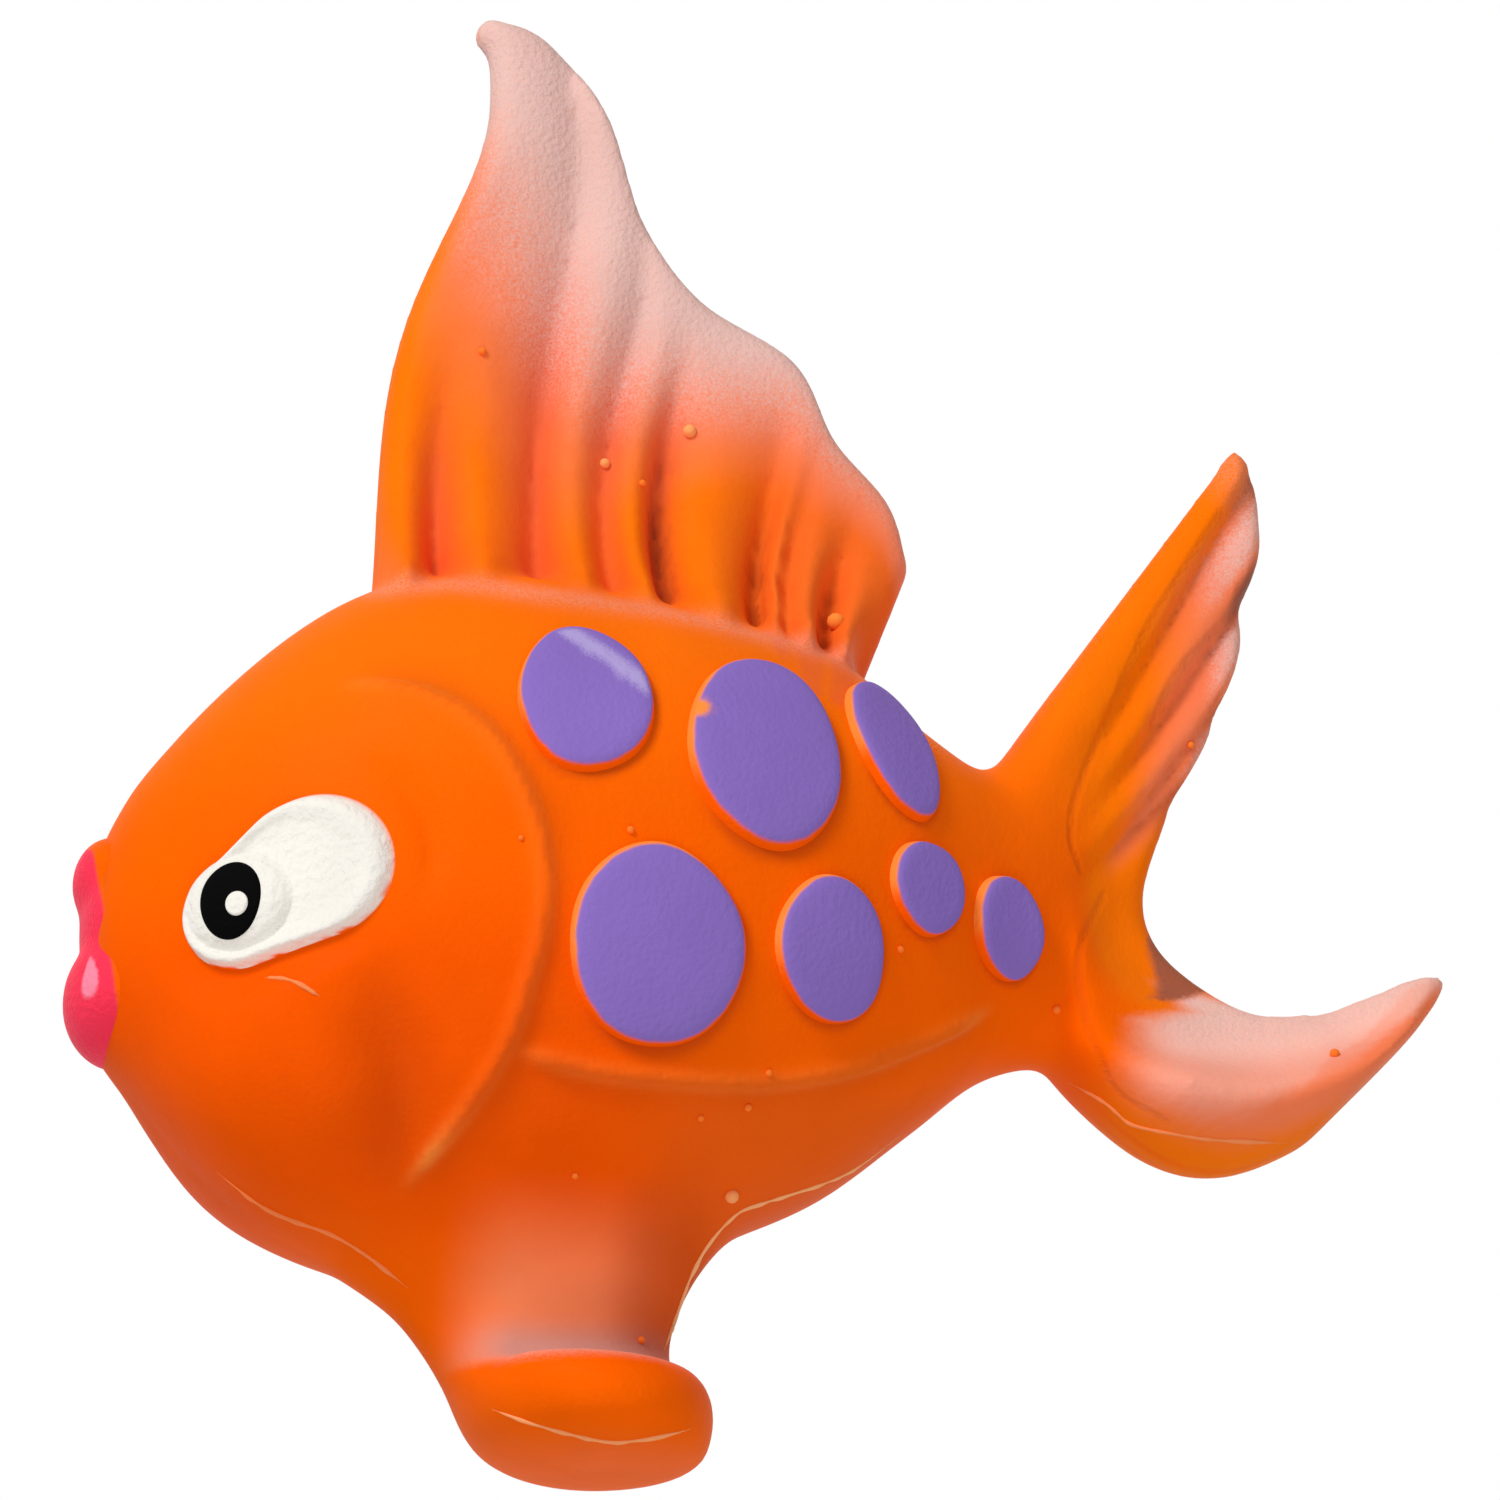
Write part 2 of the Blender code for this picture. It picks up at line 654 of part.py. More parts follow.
def egg(back, front, back_radius, front_radius, count=14):
    """Outline round two circles, as a thread would lie round them."""
    back, front = Vector(back), Vector(front)
    way = front - back
    heading = math.atan2(way.y, way.x)
    open_angle = math.acos((back_radius - front_radius) / way.length)
    outline = []
    for angle in np.linspace(heading - open_angle, heading + open_angle, count):
        outline.append(front + front_radius * Vector((math.cos(angle), math.sin(angle))))
    for angle in np.linspace(heading + open_angle, heading - open_angle + 2 * math.pi, count):
        outline.append(back + back_radius * Vector((math.cos(angle), math.sin(angle))))
    return [tuple(p) for p in outline]


def relief(name, outline, side, base, height, material):
    """A painted pad that follows the flank inside an outline, with a chamfered edge."""
    centre = np.mean(outline, axis=0)
    inner = [centre + RELIEF_EDGE * (np.array(spot) - centre) for spot in outline]
    layers = (
        [flank_point(*spot, side, base) for spot in inner],
        [flank_point(*spot, side, base) for spot in outline],
        [flank_point(*spot, side, base + height / 2) for spot in outline],
        [flank_point(*spot, side, base + height) for spot in inner],
    )
    points = [point for layer in layers for point in layer]
    count = len(outline)
    faces = loft_faces(len(layers), count)[2:]
    for ring, lift in ((0, base), (len(layers) - 1, base + height)):
        points.append(flank_point(*centre, side, lift))
        first = ring * count
        faces += [(len(points) - 1, first + k, first + (k + 1) % count) for k in range(count)]
    add_object(name, points, faces, material)


def spots(side, label):
    """The seven spots of one flank."""
    for number, (along, up, width, height, lean) in enumerate(SPOTS, 1):
        outline = ellipse(body_place((along, up)), width * BODY_LENGTH, height * BODY_HEIGHT, lean)
        purple = paint(f"purple_{label}_{number}", PURPLE, 0.55)
        relief(f"spot_{label}_{number}", outline, side, CLEARANCE, SPOT_HEIGHT, purple)


def eye(side, label):
    """The white of one eye with its pupil and catchlight laid on it."""
    white = egg(body_place(EYE_BACK), body_place(EYE_FRONT), EYE_BACK_RADIUS, EYE_FRONT_RADIUS)
    pupil = ellipse(body_place(PUPIL_PLACE), *PUPIL_SIZE, count=16)
    dot = ellipse(body_place(CATCHLIGHT_PLACE), *CATCHLIGHT_SIZE, count=10)
    layers = (
        ("eye", white, EYE_HEIGHT, OFF_WHITE),
        ("pupil", pupil, PUPIL_HEIGHT, BLACK),
        ("catchlight", dot, CATCHLIGHT_HEIGHT, OFF_WHITE),
    )
    base = CLEARANCE
    for name, outline, height, colour in layers:
        coat = paint(f"{name}_paint_{label}", colour, 0.4)
        relief(f"{name}_{label}", outline, side, base, height, coat)
        base += height + CLEARANCE


def half_egg(name, x, z, depth, width, height, material=None, sides=24, rings=5):
    """Half of an ellipsoid that bulges from a flat face at x towards -X."""
    points = []
    for share in np.linspace(0, 0.5 * math.pi, rings, endpoint=False):
        for angle in np.linspace(0, 2 * math.pi, sides, endpoint=False):
            y = width / 2 * math.cos(share) * math.cos(angle)
            up = height / 2 * math.cos(share) * math.sin(angle)
            points.append((x - depth * math.sin(share), y, z + up))
    return add_object(name, points, loft_faces(rings, sides), material)


def lips():
    """Puckered lips on the flat front of the muzzle: two lobes joined by the corner of the mouth."""
    x = NOSE_X - CLEARANCE
    top = back_z(NOSE_X) + LIP_RISE
    join = top - UPPER_LIP_HEIGHT + LIP_OVERLAP / 2
    upper_z = top - UPPER_LIP_HEIGHT / 2
    lower_z = top - UPPER_LIP_HEIGHT + LIP_OVERLAP - LOWER_LIP_HEIGHT / 2
    depth, width = LIP_DEPTH * UPPER_LIP_SHARE, LIP_WIDTH * UPPER_LIP_SHARE
    pink = paint("pink_lips", PINK, 0.4)
    upper = half_egg("lips", x, upper_z, depth, width, UPPER_LIP_HEIGHT, pink)
    combine(upper, half_egg("lower_lip_form", x, lower_z, LIP_DEPTH, LIP_WIDTH, LOWER_LIP_HEIGHT), "UNION")
    corner = half_egg("mouth_form", x, join, depth / 2, MOUTH_SHARE * width, MOUTH_SHARE * UPPER_LIP_HEIGHT)
    combine(upper, corner, "UNION")


def main():
    clear_scene()
    seat = squeaker_seat()
    latex_skin(seat)
    fibre_fill(seat)
    squeaker_barrel(seat)
    squeaker_inserts(seat)
    for side, label in ((-1, "left"), (1, "right")):
        spots(side, label)
        eye(side, label)
    lips()


main()
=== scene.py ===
import contextlib
import math

import bmesh
import bpy
import numpy as np
from mathutils import Matrix, Vector, kdtree, noise
from mathutils.bvhtree import BVHTree


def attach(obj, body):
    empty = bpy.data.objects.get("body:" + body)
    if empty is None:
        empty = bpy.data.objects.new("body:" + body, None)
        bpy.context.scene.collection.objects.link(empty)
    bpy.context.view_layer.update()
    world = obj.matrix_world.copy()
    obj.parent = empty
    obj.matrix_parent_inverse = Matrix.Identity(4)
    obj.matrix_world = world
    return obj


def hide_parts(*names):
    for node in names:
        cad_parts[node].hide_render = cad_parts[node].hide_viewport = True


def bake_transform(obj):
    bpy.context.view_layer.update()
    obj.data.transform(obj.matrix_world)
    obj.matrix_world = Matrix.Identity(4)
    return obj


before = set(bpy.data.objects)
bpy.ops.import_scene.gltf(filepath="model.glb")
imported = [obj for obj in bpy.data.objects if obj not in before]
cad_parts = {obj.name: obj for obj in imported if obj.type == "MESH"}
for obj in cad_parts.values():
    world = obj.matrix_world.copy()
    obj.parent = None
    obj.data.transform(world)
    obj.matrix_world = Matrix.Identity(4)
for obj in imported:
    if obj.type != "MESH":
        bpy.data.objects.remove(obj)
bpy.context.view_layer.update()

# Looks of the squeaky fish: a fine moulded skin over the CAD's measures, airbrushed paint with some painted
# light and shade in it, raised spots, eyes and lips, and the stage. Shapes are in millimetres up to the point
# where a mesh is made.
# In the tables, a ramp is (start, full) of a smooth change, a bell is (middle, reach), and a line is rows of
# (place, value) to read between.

MM = 0.001

# Camera of the photo: target, place, focal length, sensor, and how near it starts to see
CAMERA_TARGET = (12.116, 0.0, 57.251)
CAMERA_PLACE = (-56.32, -432.10, -84.90)
CAMERA_LENS = 141.5
CAMERA_SENSOR = 36.0
CAMERA_CLIP = 10.0

# Light: world strength for all but seen rays, then each lamp's place, size in millimetres and power in watts
AMBIENT = 0.50
KEY_LIGHT = (-450, -480, 530), 240, 3.8
LOW_LIGHT = (-40, -540, -440), 420, 1.45

# Floor: half its size, its height just under the foot, and its grey
FLOOR_HALF = 1200.0
FLOOR_Z = -0.4
FLOOR_GREY = 0.86

# Body
BODY_LENGTH = 76.4
BODY_HEIGHT = 54.0
BODY_WIDTH = 44.4
BELLY_HEIGHT = 14.9
NOSE_X = -38.4
SKIN_WALL = 2.2
SECTION_POWER = 2.3
CLEARANCE = 0.3
HOLLOW = (0.035, 0.93)

# Meshes: rings and sides of the body and its hollow, rays and steps of the fins, and voxels of melted forms
BODY_MESH = (140, 112)
HOLLOW_MESH = (40, 48)
FIN_MESH = (190, 110)
TAIL_MESH = (260, 110)
VOXEL = 0.53
LIP_VOXEL = 0.25

# Fins, tail and foot
FIN_START = 0.27
FIN_BASE = 39.3
FIN_HEIGHT = 51.4
FIN_ROOT_THICKNESS = 8.4
FIN_EDGE_THICKNESS = 4.4
FIN_SWAY = 2.1
FIN_SWAY_POWER = 1.7
FIN_SINK = 8.0
FIN_FLARE = 6.5
FIN_FLARE_HEIGHT = 4.0
FIN_FLARE_SLOPE = 0.6
FIN_FLARE_END = (0.97, 0.86)
FIN_VALLEY_BEND = (0.5, 1.0)
FIN_VALLEY_FADE = 0.35
FIN_ROLL_END = (-0.3, 0.5)
FIN_ROLL_ARCH = 1.2
FIN_ROLL_SINK = 0.6
FIN_ROLL_TOP = -0.5
FIN_STEP_POWER = 1.4
WELD = 0.002
TAIL_START = 0.902
TAIL_FOOT = 0.231
TAIL_LENGTH = 36.6
TAIL_HEIGHT = 57.0
TAIL_THICKNESS = 4.6
TAIL_ROOT_THICKNESS = 14.0
TAIL_ROOT_FADE = 2.5
TAIL_SAG = 5.4
TAIL_SAG_START = 0.65
TAIL_LEAST = 0.25
RIM_WIDTH = 14.0
RIM_PLACE = 0.94
RIM_SPREAD = 0.045
RIM_FULL = 0.35
FOOT_LENGTH = 20.0
FOOT_WIDTH = 28.8

# Easing of the melted form: joins of tail, neck and foot, the nose, the lower tail lobe and a dip in it
EASE = 0.5
EASE_TAIL_X, EASE_TAIL_Z = (33, 6), (62, 54)
EASE_NECK_X, EASE_NECK_Z = (24, 14), (17, 5)
EASE_NECK_MIDDLE = -3
EASE_NOSE_X = (-35.5, -38)
EASE_INSTEP_X, EASE_INSTEP_Z = (-6, -9), (8, 3.5)
EASE_LOBE_X, EASE_LOBE_Z = (42, 47), (47, 43)
EASE_DIP_X, EASE_DIP_Z = (55.5, 4), (37, 3)
EASE_ROUNDS = {"joins": 60, "lobe": 10, "dip": 20, "all": 3, "lips": 45}

# Squeaker seat in the skin
SQUEAKER_ALONG = 0.66
SQUEAKER_ANGLE = 46.0
BORE_RADIUS = 4.0
REBATE_RADIUS = 5.8
REBATE_DEPTH = 2.1
COLLAR_RADIUS = 6.4
COLLAR_DEPTHS = (-8.9, -1.87)
NEST_RADIUS = 6.7
NEST_DEPTH = -10.7
OVERRUN = 4.0
SEAT_MARGIN = 2.5

# Body stations from nose to tail: how far along, top, bottom and half width, as shares of the body
BODY_STATIONS = (
    (0.000, 0.580, 0.296, 0.310),
    (0.031, 0.660, 0.256, 0.440),
    (0.071, 0.736, 0.186, 0.570),
    (0.136, 0.838, 0.090, 0.730),
    (0.241, 0.954, 0.004, 0.900),
    (0.372, 1.000, -0.010, 0.990),
    (0.503, 0.981, 0.006, 1.000),
    (0.634, 0.948, 0.062, 0.920),
    (0.738, 0.905, 0.130, 0.785),
    (0.830, 0.805, 0.230, 0.605),
    (0.908, 0.745, 0.314, 0.430),
    (0.955, 0.735, 0.330, 0.330),
    (1.000, 0.690, 0.370, 0.160),
)

# Dorsal rays: root along the base, tip along and up, as shares of the fin
FIN_RAYS = (
    (-0.018, 0.198, 0.988),
    (0.150, 0.332, 0.955),
    (0.310, 0.452, 0.842),
    (0.460, 0.530, 0.660),
    (0.600, 0.650, 0.530),
    (0.725, 0.845, 0.436),
    (0.810, 0.928, 0.310),
    (0.870, 1.040, 0.208),
    (0.915, 1.082, 0.100),
)

# Valleys between the dorsal fin's rolls: place across the rays at root and rim, reach before and behind it,
# depth as a share of the thickness, and how far along the rays it runs
FIN_VALLEYS = (
    (0.085, 0.085, 0.060, 0.075, 0.70, 0.55),
    (0.245, 0.165, 0.120, 0.080, 0.66, 1.25),
    (0.377, 0.358, 0.080, 0.050, 0.62, 1.05),
    (0.470, 0.450, 0.050, 0.080, 0.85, 0.90),
    (0.637, 0.600, 0.090, 0.045, 0.85, 0.90),
    (0.700, 0.670, 0.040, 0.060, 0.70, 0.85),
    (0.815, 0.800, 0.060, 0.070, 0.85, 0.85),
)

# Rolls of the dorsal fin run out over the shoulder: X and Z of their lower ends
SHOULDER_LINE = (
    (-18.3, 65.1), (-12.8, 65.3), (-6.3, 64.0), (2.3, 63.6), (7.8, 62.9), (12.5, 62.2), (20.9, 61.2),
)

# Pale spray on the dorsal fin: place across the rays, then how far from the rim it starts and is full
FIN_SPRAY = (
    (0.00, 24, 6), (0.10, 28, 7.5), (0.20, 30.5, 10), (0.30, 28, 10), (0.45, 16, 4), (0.60, 10, 0),
    (0.80, 5, -4), (1.00, 3, -5),
)

# Tail rays from the upper edge to the keel: root and tip, along and up, as shares of the tail
TAIL_RAYS = (
    (0.000, 0.491, 0.575, 1.006),
    (0.068, 0.430, 0.622, 0.930),
    (0.109, 0.377, 0.593, 0.789),
    (0.137, 0.333, 0.527, 0.619),
    (0.150, 0.298, 0.407, 0.458),
    (0.164, 0.263, 0.347, 0.318),
    (0.164, 0.228, 0.440, 0.223),
    (0.164, 0.193, 0.669, 0.166),
    (0.164, 0.158, 0.990, 0.246),
    (0.150, 0.123, 0.945, 0.170),
    (0.137, 0.096, 0.690, -0.002),
)

# Steps between the overlapping folds of the upper tail lobe: place across the rays at root and rim, and depth
TAIL_STEPS = ((0.165, 0.060, 0.65), (0.245, 0.200, 0.75), (0.360, 0.295, 0.70), (0.345, 0.375, 0.50))
TAIL_FOLD = 0.075
FOLD_CURVE = 1.5
FOLD_LIP = 0.010

# Ragged rim at those steps: ramp over their place, depth as a share of the rays, and bells of the tongue
# before a step and the notch behind it
FOLD_RAGGED = (0.1, 0.15)
TAIL_SCALLOP = 0.03
FOLD_TONGUE = (-0.03, 0.03)
FOLD_NOTCH = (0.012, 0.014)

# Paint of those folds. Pale ends: where one starts, is full, starts to fade and ends across the rays, how far
# in it reaches and how strong it is. Gaps painted brown as shade: place, spread and strength. Last the
# painted shadow under a fold.
FOLD_ENDS = (
    (0.080, 0.115, 0.145, 0.175, 11.0, 0.65),
    (0.212, 0.230, 0.250, 0.290, 6.0, 0.70),
    (0.300, 0.330, 0.350, 0.370, 3.0, 0.35),
)
FOLD_GAP_SHADES = ((0.080, 0.030, 0.50), (0.192, 0.018, 0.95))
FOLD_END_FULL = 0.3
GAP_FADE = (5, 2)
FOLD_SHADE_BEHIND, FOLD_SHADE_BEFORE = 0.02, 0.006
FOLD_SHADE = 0.5
FOLD_SHADE_RAMP = (0.3, 0.6)

# Scoop of the lower lobe, as lines: its edge across the rays over shares along them, and its start and crest
# along the rays over places across them
SCOOP_EDGE = (
    (0.29, 0.973), (0.44, 0.967), (0.58, 0.957), (0.69, 0.943), (0.81, 0.93), (0.90, 0.90), (0.95, 0.86),
)
SCOOP_START = ((0.68, 0.45), (0.83, 0.10))
SCOOP_CREST = ((0.81, 0.90), (0.83, 0.83), (0.867, 0.80), (0.893, 0.76), (0.91, 0.67))

# Sides of the web between the lobes, which is painted brown as shade: place across the rays, share along them
# there, and slope
WEB_NEAR = (0.537, 0.86, -3.5)
WEB_FAR = (0.647, 0.81, -8.6)

# Rounded ends of the dorsal fin and of both tail lobes: centre and radii
BLUNT_TIPS = (
    ((-9.2, 0, 116.5), (1.2, 1.5, 1.2)),
    ((51.5, 0, 82.9), (1.2, 1.5, 1.2)),
    ((64.6, 0, 39.5), (2.2, 1.8, 1.2)),
)

# Foot and neck sections: height as a share of the belly height, then front, rear and half width
FOOT_SECTIONS = (
    (0.000, -0.10, 0.220, 0.30),
    (0.012, -0.21, 0.345, 0.58),
    (0.054, -0.33, 0.420, 0.82),
    (0.134, -0.43, 0.445, 0.96),
    (0.242, -0.49, 0.455, 1.00),
    (0.349, -0.53, 0.440, 0.97),
    (0.425, -0.56, 0.405, 0.89),
    (0.462, -0.57, 0.370, 0.78),
    (0.450, -0.58, 0.330, 0.66),
    (0.475, -0.60, 0.310, 0.55),
    (0.604, -0.67, 0.295, 0.46),
    (0.772, -0.77, 0.325, 0.45),
)
NECK_SECTIONS = (
    (0.966, -0.255, 0.103, 0.380),
    (1.134, -0.292, 0.126, 0.490),
    (1.336, -0.310, 0.158, 0.610),
    (1.604, -0.310, 0.185, 0.700),
    (1.872, -0.300, 0.190, 0.720),
)

# Spots: place along and up, width and height as shares of the body, and the lean of the top to the head
SPOTS = (
    (0.457, 0.722, 0.132, 0.226, 0.0),
    (0.636, 0.667, 0.152, 0.296, 5.0),
    (0.775, 0.713, 0.081, 0.222, 21.0),
    (0.527, 0.372, 0.168, 0.274, 0.0),
    (0.702, 0.394, 0.111, 0.196, 0.0),
    (0.806, 0.506, 0.077, 0.133, 0.0),
    (0.899, 0.480, 0.075, 0.143, 5.0),
)
SPOT_NUMBERS = range(1, len(SPOTS) + 1)
SPOT_WOBBLE = 0.019
SPOT_PHASE = 2.1

# Waves of an uneven outline: how many go round it, their size, and a factor on the outline's phase
WAVES = ((3, 1.0, 1.0), (2, 0.6, 1.7), (5, 0.4, 2.3))

# Underside of every pad: its height in the skin, and the share of the outline that it counts as
PAD_FLOOR = -1.0
PAD_BEYOND = 1.2

# Boss of a spot: rings as shares of its outline, and a line of its height over them
SPOT_SHARES = (
    0.15, 0.3, 0.45, 0.6, 0.7, 0.8, 0.86, 0.9, 0.93, 0.95, 0.965, 0.98, 0.99, 1.0, 1.015, 1.03, 1.05,
)
SPOT_LIFT = (
    (0, 1.00), (0.8, 0.97), (0.90, 0.90), (0.95, 0.78), (0.98, 0.6), (1.0, 0.35), (1.03, -0.1), (1.05, -0.8),
)

# Way down the flank, away from the light, in X and Z
DOWNHILL = np.array((0.6, -0.8))

# Nick in the paint of one left spot: its number, place in X and Z, lift and radius
NICKED_SPOT = 2
NICK_PLACE = (4.9, 53.4)
NICK_LIFT = 0.9
NICK_RADIUS = 1.1

# Worn streak on one spot of each side: its number, the way across it in X and Z, ramps along that way where
# it starts and ends, and the ramp over shares of the outline
WORN_SPOT = 1
WEAR_WAY = (0.62, 0.78)
WEAR_LOW, WEAR_HIGH = (0.55, 0.68), (0.98, 0.8)
WEAR_EDGE = (0.95, 0.85)

# Eye: circles of the egg, ramp over the distance from it within which moulded lines fade, pupil, catchlight,
# the dome under them and the thickness of their coats. Places are along and up the body, as shares.
EYE_BACK = (0.202, 0.475)
EYE_FRONT = (0.134, 0.417)
EYE_BACK_RADIUS = 5.6
EYE_FRONT_RADIUS = 4.1
EYE_MARGIN = (0.3, 3.0)
PUPIL_PLACE = (0.132, 0.431)
PUPIL_SIZE = (4.1, 5.7)
PUPIL_WOBBLE = 0.008
CATCHLIGHT_PLACE = (0.140, 0.422)
CATCHLIGHT_SIZE = (1.5, 1.8)
DOME_RADIUS = 3.7
DOME_HEIGHT = 1.9
DOME_POWER = 0.4
DOME_BLEND = 9.0
DOME_SINK = 0.6
PUPIL_COAT = 0.22
CATCHLIGHT_COAT = 0.38

# Heights of the eye's white and of a coat on it, as lines over shares of the outline, and the rings of both
EYE_LIFT = (
    (0, 0.32), (0.60, 0.36), (0.72, 0.54), (0.80, 0.90), (0.85, 1.02), (0.90, 0.92), (0.95, 0.45),
    (1.0, -0.25), (1.05, -1.6),
)
EYE_SHARES = (*np.linspace(0.03, 1.0, 44), 1.02, 1.05)
COAT_LIFT = ((0, 1.0), (0.85, 0.95), (0.95, 0.75), (1.0, 0.0), (1.06, -1.2))
COAT_SHARES = (0.15, 0.3, 0.45, 0.6, 0.75, 0.85, 0.9, 0.95, 0.98, 1.0, 1.03, 1.06)

# Lips: centres and radii of their lobes, a line of the X up to which they are painted by height, then the
# pale drop on the lower lip, which is a painted highlight, and ramps of the edges
LIP_LOBES = (
    ((-37.2, 0, 44.0), (2.9, 6.4, 3.3)),
    ((-36.9, 0, 40.2), (2.5, 7.8, 4.4)),
    ((-36.0, 0, 34.7), (4.5, 8.6, 5.0)),
)
LIP_PAINT = (
    (30.0, -36.0), (33.5, -36.9), (36.0, -37.3), (40.6, -38.0), (45.2, -38.8), (46.6, -39.5), (47.6, -40.2),
)
LIP_DROP = (-38.7, 34.9)
LIP_DROP_SIZE = (0.5, 1.6)
LIP_DROP_TAPER = 0.55
LIP_EDGE = (-0.15, 0.15)
LIP_DROP_EDGE = (1.15, 0.85)
LIP_DROP_SIDE = (-1.5, -3)

# Edge of the gill cover, hollow behind the cheek and line along the belly, in X and Z
GILL = (
    (-22.1, 55.5), (-18.4, 54.6), (-14.9, 53.5), (-11.5, 51.2), (-9.1, 47.8), (-7.3, 43.3), (-6.6, 39.3),
    (-6.8, 35.3), (-7.8, 31.2), (-9.0, 27.4), (-11.4, 23.3), (-13.9, 20.0), (-16.2, 17.3),
)
CHEEK_LINE = ((-21.0, 33.0), (-18.2, 29.5), (-16.4, 25.5), (-16.2, 22.0), (-17.2, 19.0), (-19.0, 17.2))
BELLY_LINE = (
    (-8.9, 27.2), (-3.2, 25.9), (2.8, 25.6), (10.4, 26.2), (17.5, 28.2), (23.4, 31.2), (30.2, 35.2),
)

# Lines moulded into both flanks: height above the skin, reach to the left and right of the path, and path.
# Raised ones and hollows fade over different shares of their length.
RIDGE_FADE = 0.12
HOLLOW_FADE = 0.35
FLANK_LINES = (
    (0.45, 0.9, 5.0, GILL),
    (0.50, 0.7, 0.7, GILL),
    (0.40, 1.6, 0.8, BELLY_LINE),
    (0.45, 0.7, 0.7, BELLY_LINE),
    (-1.70, 3.0, 3.0, CHEEK_LINE),
    (-0.60, 1.3, 1.3, ((-22.6, 48.0), (-18.6, 47.4), (-16.8, 46.0), (-15.4, 44.0), (-14.9, 41.4),
                       (-15.5, 38.8), (-16.8, 36.4))),
)
CHEEK_CENTRE = (-26.0, 26.0)
CHEEK_RADIUS = 8.5
CHEEK_HEIGHT = 2.5

# Fine creases, in X and Z on the left: drawn into the shading of both sides, and into their paint as painted
# shade
CREASES = (
    ((49.8, 78.4), (46.7, 73.3), (43.8, 68.6), (41.8, 64.5), (39.1, 58.4), (36.9, 52.8), (36.4, 49.3),
     (37.2, 47.1)),
    ((51.2, 72.2), (50.4, 70.2), (48.4, 67.6), (45.9, 64.6), (43.7, 60.4)),
    ((49.4, 63.0), (47.4, 59.5), (45.4, 56.9), (43.6, 54.3)),
    ((39.3, 45.6), (37.2, 41.5), (36.7, 39.4), (36.8, 36.6), (38.0, 32.4), (39.9, 29.5), (43.3, 27.3)),
)
CREASE_POINTS = 200
CREASE_REACH = 1.35
CREASE_DEPTH = 0.12
CREASE_START = 0.55
CREASE_SHADE_TINT = 0.12

# Mould flash on the left and a raised wrinkle under the eye: how pale the line is, then its path in X and Z.
# On the wrinkle, the paleness is a painted highlight.
FLASH_LINES = (
    (0.35, ((-28.8, 20.5), (-25.4, 18.0), (-21.9, 16.5), (-20.1, 15.9), (-17.2, 14.5), (-14.3, 12.5))),
    (0.70, ((-8.2, 3.0), (-5.6, 1.6), (-2.5, 0.7), (0.1, 0.35), (1.8, 0.4), (3.8, 0.7), (6.2, 1.5))),
    (1.00, ((5.2, 8.8), (5.8, 10.4), (6.5, 12.4), (7.3, 14.8), (8.3, 16.7), (9.6, 18.2), (10.7, 19.1),
            (13.0, 20.0), (18.9, 22.7), (23.3, 26.1))),
    (0.45, ((36.8, 31.5), (39.9, 28.8), (41.4, 27.5), (44.5, 26.5), (47.9, 26.1), (53.6, 26.6))),
    (0.40, ((-26.4, 32.4), (-24.6, 31.8), (-22.6, 30.5))),
)
FLASH_RADIUS = 0.24
FLASH_FADE = 0.12
FLASH_GRAIN = (0.75, 1.25)
FLASH_GRAIN_SCALE = 900
FLASH_LEAST = 0.1
TUBE_UP = Vector((0.31, 0.2, 0.93))

# Pips left by air bubbles in the mould, on the left: X, Z and radius
PIPS = (
    (7.0, 82.6, 0.55), (0.2, 79.6, 0.42), (-9.7, 88.0, 0.34), (18.3, 66.4, 0.70), (9.3, 19.5, 0.55),
    (3.0, 77.7, 0.30), (10.8, 26.7, 0.28), (9.5, 24.5, 0.30), (31.5, 40.1, 0.30), (5.9, 23.4, 0.26),
    (-3.1, 19.2, 0.26), (21.0, 37.1, 0.28), (28.9, 38.4, 0.26), (3.1, 9.0, 0.30), (-8.4, 42.2, 0.22),
    (-0.3, 43.3, 0.30), (35.0, 35.8, 0.34), (57.0, 33.2, 0.40), (46.9, 58.9, 0.30),
)
PIP_LIFT = 0.35

# Y of a place to the left of everything, from where the skin is looked at
FAR_LEFT = -80

# Noise in the materials: scale, detail and height. Speckle is the grain of the overspray's edge, and mottle
# the unevenness of all paint. A range is a factor and what is added.
PAINT_WAVE = (420, 2.0, 0.06)
PAINT_GRAIN = (2200, 3.0, 0.19)
SPOT_GRAIN = (2200, 3.0, 0.09)
EYE_GRAIN = (1500, 3.0, 0.25)
PLASTIC_GRAIN = (900, 2.0, 0.01)
SPECKLE = (5200, 1.0)
SPECKLE_STRENGTH = 4.5
MOTTLE = (160, 3.0)
MOTTLE_RANGE = (0.16, 0.92)
GRAIN_RANGE = (0.7, 0.3)

# Roughness of each material, refractive index of paint and plastic, how clear the reed's film is, and the
# latex's glow from within
ROUGHNESS = {
    "latex_paint": 0.46, "purple_coat": 0.52, "pink_coat": 0.38, "white_coat": 0.42, "black_coat": 0.7,
    "dot_coat": 0.35, "fibre": 0.95, "white_plastic": 0.32, "grey_block": 0.4, "grey_wedge": 0.4,
    "clear_film": 0.15, "floor": 0.8,
}
PAINT_IOR = 1.06
PLASTIC_IOR = 1.45
FILM_CLEAR = 0.6
LATEX_GLOW = {
    "Subsurface Weight": 0.12,
    "Subsurface Radius": (1.0, 0.35, 0.12),
    "Subsurface Scale": 0.0012,
}


def srgb(red, green, blue):
    """Linear colour of a screen colour given from 0 to 255."""
    screen = np.array([red, green, blue]) / 255
    return np.where(screen <= 0.04045, screen / 12.92, ((screen + 0.055) / 1.055) ** 2.4)


